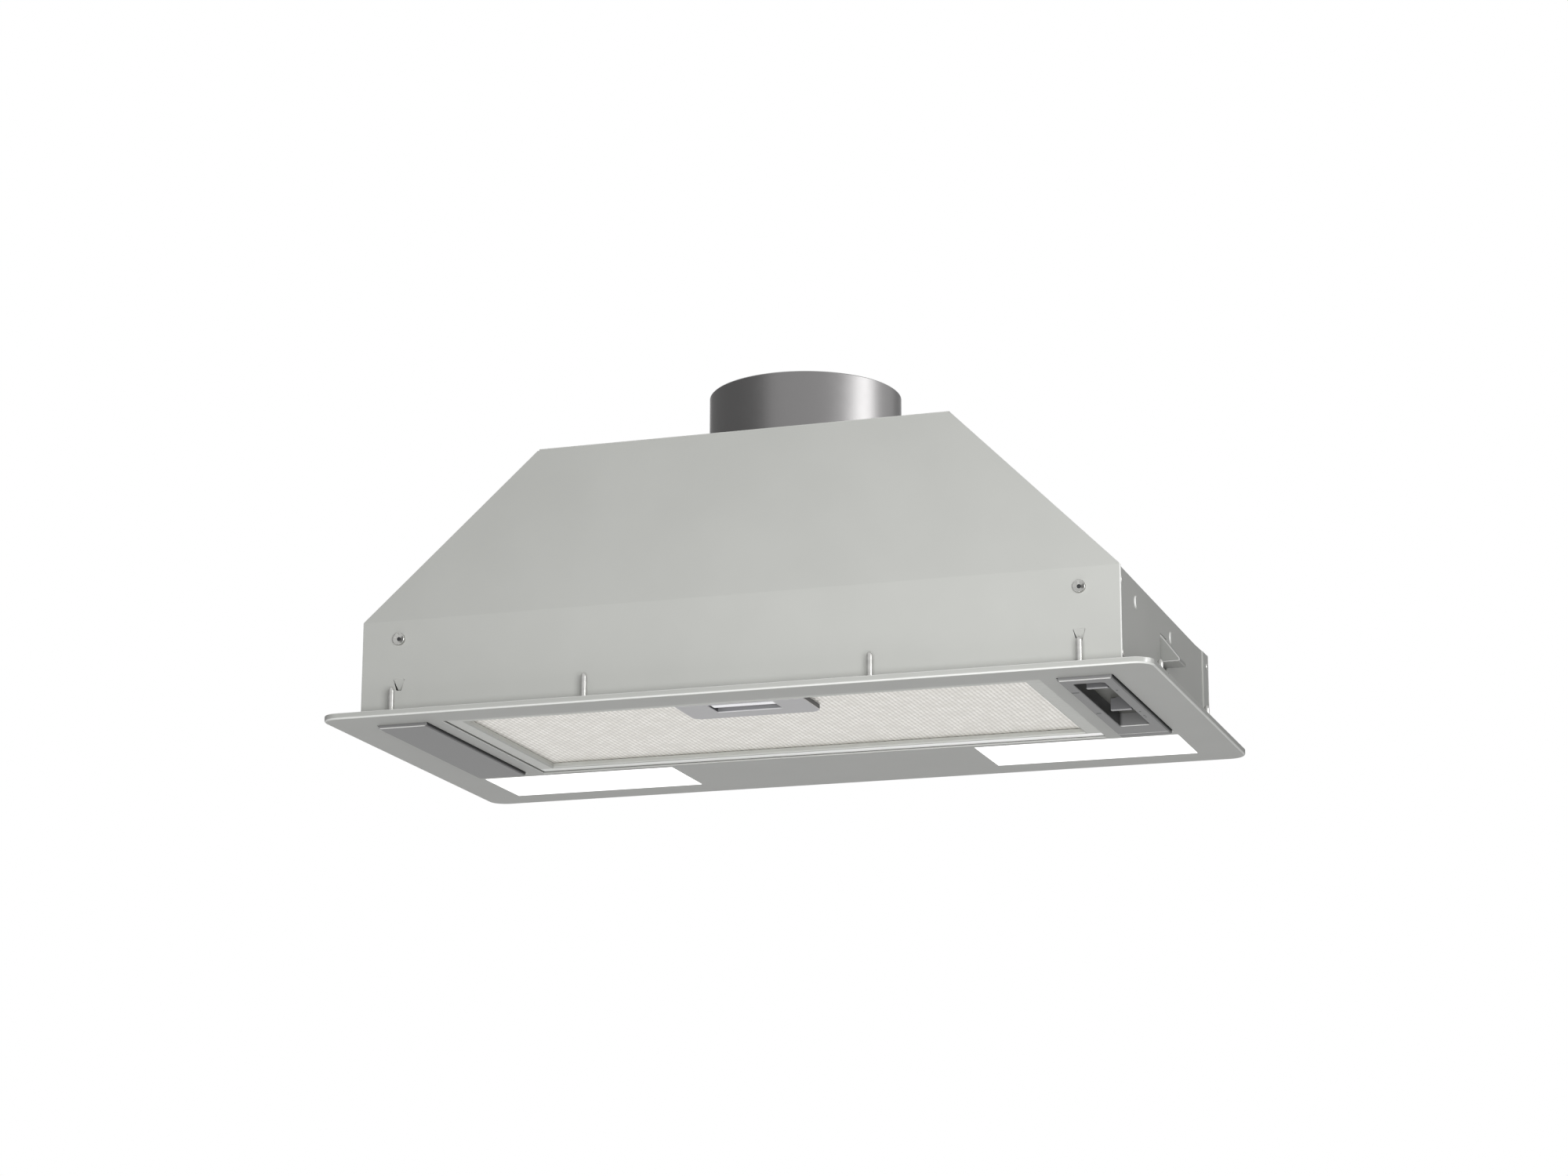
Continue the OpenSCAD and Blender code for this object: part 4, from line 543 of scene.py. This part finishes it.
def makeFilterFrame():
    # the frame's inner edge rolls up towards the mesh; roll and inner walls take a darker finish as painted
    # shade
    low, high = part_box("filter_frame")
    mesh = meltedCopy("filter_frame")
    inner = []
    for edge in mesh.edges:
        points = [v.co for v in edge.verts]
        atBottom = all(abs(p.z - low.z) < lip["level"] for p in points)
        inside = all(within(p, low, high, lip["inset"]) for p in points)
        square = degrees(edge.calc_face_angle(0)) > lip["square"]
        if atBottom and inside and square and edge.calc_length() > lip["shortest"]:
            inner.append(edge)
    rolled = bmesh.ops.bevel(mesh, geom=inner, offset=lip["roll"], offset_type="OFFSET", affect="EDGES",
                             segments=lip["segments"], profile=0.5, clamp_overlap=True, material=-1)
    for face in rolled["faces"]:
        face.material_index = 1
    print("filter lip edges:", len(inner), "faces:", len(rolled["faces"]))
    hard = []
    for edge in mesh.edges:
        if len(edge.link_faces) == 2 and degrees(edge.calc_face_angle()) > lip["sharpest"]:
            hard.append(edge)
    bmesh.ops.bevel(mesh, geom=hard, offset=lip["edges"], offset_type="OFFSET", affect="EDGES",
                    segments=lip["edgeSegments"], profile=0.5, clamp_overlap=True, material=-1)
    # the rear bar starts behind the last level edge inside the frame, and has its own finish with painted
    # light
    rearLimit, lowest = high.y - lip["inset"], low.z + lip["level"]
    barFront = max(v.co.y for v in mesh.verts if v.co.y < rearLimit and v.co.z < lowest)
    bmesh.ops.bisect_plane(mesh, geom=mesh.verts[:] + mesh.edges[:] + mesh.faces[:], dist=touching,
                           plane_co=(0, barFront + lip["barStep"], 0), plane_no=(0, 1, 0))
    print("rear bar from", round(barFront / mm, 2), "to", round(high.y / mm, 2), "mm")
    # painted shade on the inner walls, painted light on the rear bar
    for face in mesh.faces:
        centre = face.calc_center_median()
        if within(centre, low, high, lip["wallInset"]) and abs(face.normal.z) < lip["upright"]:
            face.material_index = 1
        elif centre.y > barFront and face.normal.z < lip["upright"]:
            face.material_index = 2
    piece = levelFaces(finishPiece("filterFrameRolled", mesh, "filter_frame", lip["smooth"]))
    piece.data.materials.append(finishes[lip["finish"]])
    piece.data.materials.append(finishes[lip["rearFinish"]])


makeFilterFrame()


weave = {"cell": (6.0 * mm, 7.0 * mm), "strand": 0.8 * mm, "ridge": 0.2 * mm, "slit": 0.4, "lift": 0.1 * mm,
         "margin": 1.5 * mm, "overlap": 3.0 * mm, "spareCells": 4, "smooth": 5}


def keepCell(centre, low, high, latchLow, latchHigh):
    # inside the frame, and up to the latch, whose housing hides the cut cells
    cut = weave["overlap"]
    atLatch = latchLow.x + cut < centre.x < latchHigh.x - cut and centre.y < latchHigh.y - cut
    return within(centre, low, high, weave["margin"]) and not atLatch


def makeFilterWeave():
    # expanded aluminium: a lattice of narrow slits along the hood's depth, with ridged strands between them
    low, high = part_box("filter_mesh_lower")
    latchLow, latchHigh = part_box("latch_housing")
    wide, deep = weave["cell"]
    count = round((high.x - low.x) / wide + (high.y - low.y) / deep) + weave["spareCells"]
    mesh = bmesh.new()
    bmesh.ops.create_grid(mesh, x_segments=count, y_segments=count, size=count / 2)
    diamonds = Matrix.Rotation(radians(45), 4, "Z")
    squeeze = Matrix.Diagonal((wide / 2 ** 0.5, deep / 2 ** 0.5, 1, 1)) @ diamonds
    middle = Matrix.Translation(((low.x + high.x) / 2, (low.y + high.y) / 2, low.z + weave["lift"]))
    bmesh.ops.transform(mesh, matrix=middle @ squeeze, verts=mesh.verts)
    outside = []
    for face in mesh.faces:
        if not keepCell(face.calc_center_median(), low, high, latchLow, latchHigh):
            outside.append(face)
    bmesh.ops.delete(mesh, geom=outside, context="FACES")
    cells = list(mesh.faces)
    bmesh.ops.inset_individual(mesh, faces=cells, thickness=weave["strand"] / 2, depth=weave["ridge"],
                               use_even_offset=True)
    for cell in cells:
        centre = cell.calc_center_median()
        for vert in cell.verts:
            vert.co.x = centre.x + (vert.co.x - centre.x) * weave["slit"]
        cell.material_index = 1  # painted light: the knitted layers drawn in the slit itself, lit, where the real layers lie deeper in shade
    print("weave faces:", len(mesh.faces))
    piece = finishPiece("filterWeave", mesh, "filter_mesh_lower", weave["smooth"])
    piece.data.materials.append(finishes["filter_fleece"])


makeFilterWeave()


fastener = {  # shares of the head's radius or height, unless they say otherwise
    "sides": 32, "domeSteps": 5, "smooth": 35, "rim": 0.9, "shankGap": 0.2 * mm,
    "point": 0.45, "pointLength": 0.8, "dome": 0.6, "rimRounding": 0.12,
    "recess": 0.42, "bladeWidth": 0.2, "recessDepth": 0.75, "recessTaper": 0.7, "recessTop": 0.9,
    "above": 0.1,
    "mandrel": 0.3, "mandrelDepth": 0.35, "mandrelTaper": 0.9, "mandrelDip": 0.8,
    "socket": 0.32, "socketTaper": 0.9, "socketFloor": 0.1, "dishFloor": 0.4,
    "walls": {"cross": 0.25, "rivet": 0.15, "dished": 0.6},
}


def separateSolids(nodeName):
    # the corner points of each separate solid of a node
    mesh = meltedCopy(nodeName)
    solids = []
    for start in mesh.verts:
        if start.tag:
            continue
        start.tag = True
        waiting = [start]
        points = []
        while waiting:
            vert = waiting.pop()
            points.append(vert.co.copy())
            for neighbour in [e.other_vert(vert) for e in vert.link_edges]:
                if not neighbour.tag:
                    neighbour.tag = True
                    waiting.append(neighbour)
        solids.append(points)
    mesh.free()
    return solids


def measured(points):
    # axis, facing, head and shank of one turned fastener, read off its corner points
    low = Vector([min(p[i] for p in points) for i in range(3)])
    high = Vector([max(p[i] for p in points) for i in range(3)])
    middle = (low + high) / 2
    size = high - low
    axis = min(range(3), key=lambda i: abs(size[(i + 1) % 3] - size[(i + 2) % 3]))
    reach = []
    for point in points:
        across = Vector([point[i] - middle[i] if i != axis else 0 for i in range(3)])
        reach.append((across.length, point[axis]))
    headRadius = max(r for r, a in reach)
    headEnds = [a for r, a in reach if r > headRadius * fastener["rim"]]
    shankEnds = [(r, a) for r, a in reach if r < headRadius * fastener["rim"]]
    sign = 1 if sum(headEnds) / len(headEnds) > middle[axis] else -1
    seatAt = min(headEnds, key=lambda a: a * sign)
    top, bottom = (high[axis], low[axis]) if sign > 0 else (low[axis], high[axis])
    below = [r for r, a in shankEnds if (a - seatAt) * sign < -fastener["shankGap"]]
    shankRadius = max(below, default=headRadius / 2)
    seat = middle.copy()
    seat[axis] = seatAt
    facing = Vector((0, 0, 0))
    facing[axis] = sign
    return seat, facing, headRadius, abs(top - seatAt), shankRadius, abs(seatAt - bottom)


def turnedHead(headRadius, headHeight, shankRadius, shankLength, wall, kind):
    # a spun fastener along Z: shank below, head above, with an upright wall and then a dome; a rivet has a
    # sunk mandrel, a dished head a socket
    profile = [(0, -shankLength), (shankRadius * fastener["point"], -shankLength),
               (shankRadius, -shankLength + shankRadius * fastener["pointLength"]), (shankRadius, 0),
               (headRadius, 0), (headRadius, headHeight * wall)]
    dome = fastener["rimRounding"] if kind == "dished" else fastener["dome"]
    for step in range(1, fastener["domeSteps"] + 1):
        angle = radians(90 * step / fastener["domeSteps"])
        inward = headRadius * dome * (1 - cos(angle))
        profile.append((headRadius - inward, headHeight * (wall + (1 - wall) * sin(angle))))
    if kind == "dished":
        mouth = headRadius * fastener["socket"]
        floor = headHeight * fastener["socketFloor"]
        profile += [(mouth, headHeight * fastener["dishFloor"]), (mouth * fastener["socketTaper"], floor),
                    (0, floor)]
    elif kind == "rivet":
        mouth = headRadius * fastener["mandrel"]
        depth = fastener["mandrelDepth"]
        profile += [(mouth, headHeight), (mouth * fastener["mandrelTaper"], headHeight * (1 - depth)),
                    (0, headHeight * (1 - depth * fastener["mandrelDip"]))]
    else:
        profile.append((0, headHeight))
    mesh = bmesh.new()
    points = [mesh.verts.new((x, 0, z)) for x, z in profile]
    edges = [mesh.edges.new((a, b)) for a, b in zip(points, points[1:])]
    bmesh.ops.spin(mesh, geom=points + edges, axis=(0, 0, 1), cent=(0, 0, 0), angle=radians(360),
                   steps=fastener["sides"], use_merge=True)
    bmesh.ops.remove_doubles(mesh, verts=mesh.verts, dist=0.001 * mm)
    bmesh.ops.recalc_face_normals(mesh, faces=mesh.faces)
    return mesh


def crossCutter(headRadius, headHeight):
    # the cross recess: four tapering arms
    cutter = bmesh.new()
    reach = headRadius * fastener["recess"]
    half = headRadius * fastener["bladeWidth"] / 2
    corners = []
    for quarter in range(4):
        turn = Matrix.Rotation(radians(90 * quarter), 4, "Z")
        corners += [turn @ Vector(p) for p in ((reach, -half, 0), (reach, half, 0), (half, half, 0))]
    start = Vector((0, 0, headHeight * (1 + fastener["above"])))
    face = cutter.faces.new([cutter.verts.new(corner + start) for corner in corners])
    deep = bmesh.ops.extrude_face_region(cutter, geom=[face])
    lower = [v for v in deep["geom"] if isinstance(v, bmesh.types.BMVert)]
    depth = headHeight * (fastener["above"] + fastener["recessDepth"])
    bmesh.ops.translate(cutter, vec=(0, 0, -depth), verts=lower)
    bmesh.ops.scale(cutter, vec=(fastener["recessTaper"], fastener["recessTaper"], 1), verts=lower)
    bmesh.ops.recalc_face_normals(cutter, faces=cutter.faces)
    return cutter


def fastenerMesh(points, kind):
    seat, facing, headRadius, headHeight, shankRadius, shankLength = measured(points)
    head = turnedHead(headRadius, headHeight, shankRadius, shankLength, fastener["walls"][kind], kind)
    turned = Matrix.Translation(seat) @ Vector((0, 0, 1)).rotation_difference(facing).to_matrix().to_4x4()
    if kind == "cross":
        head = carved(head, crossCutter(headRadius, headHeight), turned)
    else:
        bmesh.ops.transform(head, matrix=turned, verts=head.verts)
    if kind == "rivet":
        return head
    dark = headRadius * (fastener["socket"] if kind == "dished" else fastener["recess"])
    top = headHeight * (fastener["dishFloor"] if kind == "dished" else fastener["recessTop"])
    # painted shade: the faces of the recess take the black finish
    for face in head.faces:  # the recess reads dark
        offset = face.calc_center_median() - seat
        height = offset.dot(facing)
        if (offset - facing * height).length < dark and 0 < height < top:
            face.material_index = 1
    return head


def carved(body, cutter, matrix):
    # takes the cutter out of the body and returns the result as a new bmesh
    bodyData, cutterData = bpy.data.meshes.new("carveBody"), bpy.data.meshes.new("carveCutter")
    body.to_mesh(bodyData)
    cutter.to_mesh(cutterData)
    body.free()
    cutter.free()
    bodyObject = bpy.data.objects.new("carveBody", bodyData)
    cutterObject = bpy.data.objects.new("carveCutter", cutterData)
    for item in (bodyObject, cutterObject):
        bpy.context.scene.collection.objects.link(item)
    cut = bodyObject.modifiers.new("recess", "BOOLEAN")
    cut.operation, cut.object, cut.solver = "DIFFERENCE", cutterObject, "EXACT"
    bpy.context.view_layer.update()
    result = bmesh.new()
    result.from_object(bodyObject, bpy.context.evaluated_depsgraph_get())
    result.transform(matrix)
    for item in (bodyObject, cutterObject):
        bpy.data.objects.remove(item)
    for data in (bodyData, cutterData):
        bpy.data.meshes.remove(data)
    return result


def joined(meshes):
    whole = bmesh.new()
    for part in meshes:
        data = bpy.data.meshes.new("part")
        part.to_mesh(data)
        part.free()
        whole.from_mesh(data)
        bpy.data.meshes.remove(data)
    return whole


fastenerPieces = {  # CAD node: piece and kind of head
    "front_screws": ("frontDishedScrews", "dished"),
    "clip_screws": ("clipCrossScrews", "cross"),
    "casing_screws": ("casingCrossScrews", "cross"),
    "motor_screws": ("motorCrossScrews", "cross"),
    "collar_screws": ("collarCrossScrews", "cross"),
    "body_rivets": ("blindRivets", "rivet"),
}
for nodeName, (pieceName, kind) in fastenerPieces.items():
    heads = [fastenerMesh(points, kind) for points in separateSolids(nodeName)]
    print(pieceName, len(heads))
    piece = finishPiece(pieceName, joined(heads), nodeName, fastener["smooth"])
    # painted shade: black for the recesses of the screw heads
    if kind != "rivet":
        piece.data.materials.append(finishes["black_plastic"])


pin = {"tip": 3.0 * mm, "tipSteps": 6, "sides": 24, "chamfer": 0.3 * mm, "smooth": 40}


def makeLocatingPins():
    # turned pins with a bullet-shaped tip
    pins = []
    for points in separateSolids("locating_pins"):
        low = Vector([min(p[i] for p in points) for i in range(3)])
        high = Vector([max(p[i] for p in points) for i in range(3)])
        radius = (high.x - low.x) / 2
        straight = high.z - low.z - pin["tip"]
        profile = [(0, 0), (radius - pin["chamfer"], 0), (radius, pin["chamfer"]), (radius, straight)]
        for step in range(1, pin["tipSteps"]):
            angle = radians(90 * step / pin["tipSteps"])
            profile.append((radius * cos(angle), straight + pin["tip"] * sin(angle)))
        profile.append((0, straight + pin["tip"]))
        mesh = bmesh.new()
        corners = [mesh.verts.new((x, 0, z)) for x, z in profile]
        edges = [mesh.edges.new((a, b)) for a, b in zip(corners, corners[1:])]
        bmesh.ops.spin(mesh, geom=corners + edges, axis=(0, 0, 1), cent=(0, 0, 0), angle=radians(360),
                       steps=pin["sides"], use_merge=True)
        bmesh.ops.remove_doubles(mesh, verts=mesh.verts, dist=0.001 * mm)
        bmesh.ops.recalc_face_normals(mesh, faces=mesh.faces)
        bmesh.ops.translate(mesh, vec=((low.x + high.x) / 2, (low.y + high.y) / 2, low.z), verts=mesh.verts)
        pins.append(mesh)
    print("locating pins:", len(pins))
    finishPiece("turnedPins", joined(pins), "locating_pins", pin["smooth"])


makeLocatingPins()


springs = {"stroke": 6 * mm, "smooth": 50}


def makeLatchSprings():
    # two coil springs behind the latch bar, copied with a mesh of their own; the real ones shorten as the
    # bar is pushed back
    piece = finishPiece("latchCoilSprings", meltedCopy("latch_springs"), "latch_springs", springs["smooth"])
    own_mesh(piece)


makeLatchSprings()


panel = {"rounding": 0.4 * mm, "sharpest": 60, "slotRounding": 0.7 * mm, "slotSegments": 2,
         "slotX": 217.1 * mm, "slotHalf": 9.6 * mm, "slotFront": -110 * mm, "slotRear": 16 * mm,
         "markDepth": 0.03 * mm, "leftColumn": 203.9 * mm, "rightColumn": 229.0 * mm, "smooth": 50}
panelMarks = [  # column, place along the slot, length, width
    ("leftColumn", -84.7 * mm, 4.6 * mm, 2.8 * mm),
    ("leftColumn", -26.0 * mm, 3.0 * mm, 2.6 * mm),
    ("rightColumn", -84.6 * mm, 1.1 * mm, 2.6 * mm),
    ("rightColumn", -23.5 * mm, 1.1 * mm, 2.6 * mm),
    ("rightColumn", -12.2 * mm, 1.1 * mm, 2.2 * mm),
    ("rightColumn", -8.2 * mm, 1.1 * mm, 2.2 * mm),
]


def makeControlPanel():
    # the panel's own shape with plain setting marks printed dark beside the slot
    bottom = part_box("control_bezel")[0].z
    body = meltedCopy("control_bezel")
    rim = []
    for edge in body.edges:
        ends = [v.co for v in edge.verts]
        level = all(abs(p.z - bottom) < touching for p in ends)
        across = all(abs(p.x - panel["slotX"]) < panel["slotHalf"] for p in ends)
        if level and across and all(panel["slotFront"] < p.y < panel["slotRear"] for p in ends):
            rim.append(edge)
    bmesh.ops.bevel(body, geom=rim, offset=panel["slotRounding"], offset_type="OFFSET", affect="EDGES",
                    segments=panel["slotSegments"], profile=0.5, clamp_overlap=False, material=-1)
    print("slot edges:", len(rim))
    cutter = bmesh.new()
    for column, along, length, width in panelMarks:
        block = bmesh.ops.create_cube(cutter, size=1)["verts"]
        bmesh.ops.scale(cutter, vec=(length, width, 2 * panel["markDepth"]), verts=block)
        bmesh.ops.translate(cutter, vec=(panel[column], along, bottom), verts=block)
    mesh = carved(easedMesh(body, panel["rounding"], panel["sharpest"]), cutter, Matrix.Identity(4))
    filled = []
    for column, along, length, width in panelMarks:
        middle = Vector((panel[column], along, bottom + panel["markDepth"]))
        for face in mesh.faces:
            offset = face.calc_center_median() - middle
            if abs(offset.x) < length / 2 and abs(offset.y) < width / 2 and abs(offset.z) < touching:
                filled.append(face)
    for face in filled:
        face.material_index = 1
    piece = levelFaces(finishPiece("controlPanelEased", mesh, "control_bezel", panel["smooth"]))
    piece.data.materials.append(finishes["black_plastic"])
    print("panel marks filled:", len(filled))


makeControlPanel()


# Room, light and camera

room = {"floorHeight": -2.6, "floorSize": 5.0, "floorPatch": 0.4, "worldLight": 0.23}
lamps = {  # name: place, target, width, height, watts
    "keyLamp": ((0.52, -1.25, -0.15), (0.12, -0.12, 0.1), 0.7, 0.7, 12.4),
    "underLamp": ((-0.1, -1.3, -1.9), (0, 0, 0), 1.6, 1.2, 6),
    "collarStrip": ((1.9, 0.1, 0.62), (0, 0.024, 0.2), 0.8, 0.9, 11),
    "edgeBoard": ((-0.1, -0.4, -2.3), (0, 0, 0), 1.0, 1.0, 45),
    "rimStrip": ((1.95, -0.55, 0.1), (0.25, -0.12, 0.0), 0.25, 0.5, 22),
}
# grey boards that only reflections see
flags = {  # name: centre, turn about the vertical, width, height, glow
    "leftFlag": ((-1.6, -0.5, 0.7), 90, 5.0, 1.6, 0.32),
    "rearFlag": ((0.75, 2.3, 0.55), -15, 1.2, 1.6, 0.3),
}


def makeRoom():
    mesh = bmesh.new()
    bmesh.ops.create_grid(mesh, x_segments=1, y_segments=1, size=room["floorSize"] / 2)
    bmesh.ops.translate(mesh, vec=(0, 0, room["floorHeight"]), verts=mesh.verts)
    data = bpy.data.meshes.new("paleFloor")
    mesh.to_mesh(data)
    mesh.free()
    material, tree, shader, place = newMaterial("palePlaster", {"Roughness": 0.9})
    mottle(tree, shader, place, ("#ececea", "#f0f0ee"), size=room["floorPatch"])
    data.materials.append(material)
    floor = bpy.data.objects.new("paleFloor", data)
    bpy.context.scene.collection.objects.link(floor)
    world = bpy.data.worlds.new("studioWorld")
    bpy.context.scene.world = world
    world.use_nodes = True
    tree = world.node_tree
    rays = addNode(tree, "ShaderNodeLightPath").outputs
    # the room is white to the camera, in reflections and through clear pieces, and dimmer as a light
    seen = addNode(tree, "ShaderNodeMath", {"operation": "MAXIMUM"},
                   {0: rays["Is Camera Ray"], 1: rays["Is Glossy Ray"]})
    shown = addNode(tree, "ShaderNodeMath", {"operation": "MAXIMUM"},
                    {0: seen.outputs[0], 1: rays["Is Transmission Ray"]})
    level = addNode(tree, "ShaderNodeMapRange", {"To Min": room["worldLight"], "To Max": 1.0},
                    {"Value": shown.outputs[0]})
    tree.links.new(level.outputs["Result"], tree.nodes["Background"].inputs["Strength"])
    tree.nodes["Background"].inputs["Color"].default_value = (1, 1, 1, 1)


def makeLamps():
    for name, (place, target, width, height, watts) in lamps.items():
        light = bpy.data.lights.new(name, "AREA")
        light.shape = "RECTANGLE"
        light.size, light.size_y = width, height
        light.energy = watts
        lamp = bpy.data.objects.new(name, light)
        lamp.location = place
        lamp.rotation_euler = (Vector(target) - Vector(place)).to_track_quat("-Z", "Y").to_euler()
        # the other three are only seen as a shine on faces and edges
        lamp.visible_diffuse = name in ("keyLamp", "underLamp")
        lamp.visible_glossy = name != "keyLamp"  # it would streak the collar
        bpy.context.scene.collection.objects.link(lamp)


def makeFlags():
    for name, (centre, turn, width, height, glow) in flags.items():
        # grey felt on a board: quite dull, lifted by a faint even glow
        material, tree, shader, place = newMaterial(
            name + "Felt", {"Roughness": 1.0, "Specular IOR Level": 0.0, "Emission Strength": glow})
        mottle(tree, shader, place, ("#1c1c1c", "#242424"), size=20 * mm)
        mesh = bmesh.new()
        bmesh.ops.create_grid(mesh, x_segments=1, y_segments=1, size=0.5)
        standing = Matrix.Rotation(radians(90), 4, "X") @ Matrix.Diagonal((width, height, 1, 1))
        placed = Matrix.Translation(centre) @ Matrix.Rotation(radians(turn), 4, "Z") @ standing
        bmesh.ops.transform(mesh, matrix=placed, verts=mesh.verts)
        data = bpy.data.meshes.new(name)
        mesh.to_mesh(data)
        mesh.free()
        data.materials.append(material)
        flag = bpy.data.objects.new(name, data)
        bpy.context.scene.collection.objects.link(flag)
        flag.visible_camera = flag.visible_diffuse = flag.visible_shadow = False


view = {"place": (0.7129, -2.1786, -0.4882), "azimuth": 18.276, "elevation": 14.416, "roll": -0.153,
        "focal": 85.14, "sensor": 36.0, "farthest": 50}


def makeCamera():
    camera = bpy.data.cameras.new("photoCamera")
    camera.lens = view["focal"]
    camera.sensor_width = view["sensor"]
    camera.sensor_fit = "HORIZONTAL"
    camera.clip_end = view["farthest"]
    # right, forward and up of the photograph's viewpoint, turned into Blender's camera axes
    level = Matrix.Rotation(radians(view["azimuth"]), 3, "Z")
    raised = level @ Matrix.Rotation(radians(view["elevation"]), 3, "X")
    turn = raised @ Matrix.Rotation(radians(view["roll"]), 3, "Y")
    axes = Matrix((turn.col[0], turn.col[2], -turn.col[1])).transposed()
    holder = bpy.data.objects.new("photoCamera", camera)
    holder.matrix_world = Matrix.Translation(view["place"]) @ axes.to_4x4()
    bpy.context.scene.collection.objects.link(holder)
    bpy.context.scene.camera = holder


makeRoom()
makeLamps()
makeFlags()
makeCamera()
bpy.context.scene.view_settings.view_transform = "Standard"
print("room, lamps and camera made")
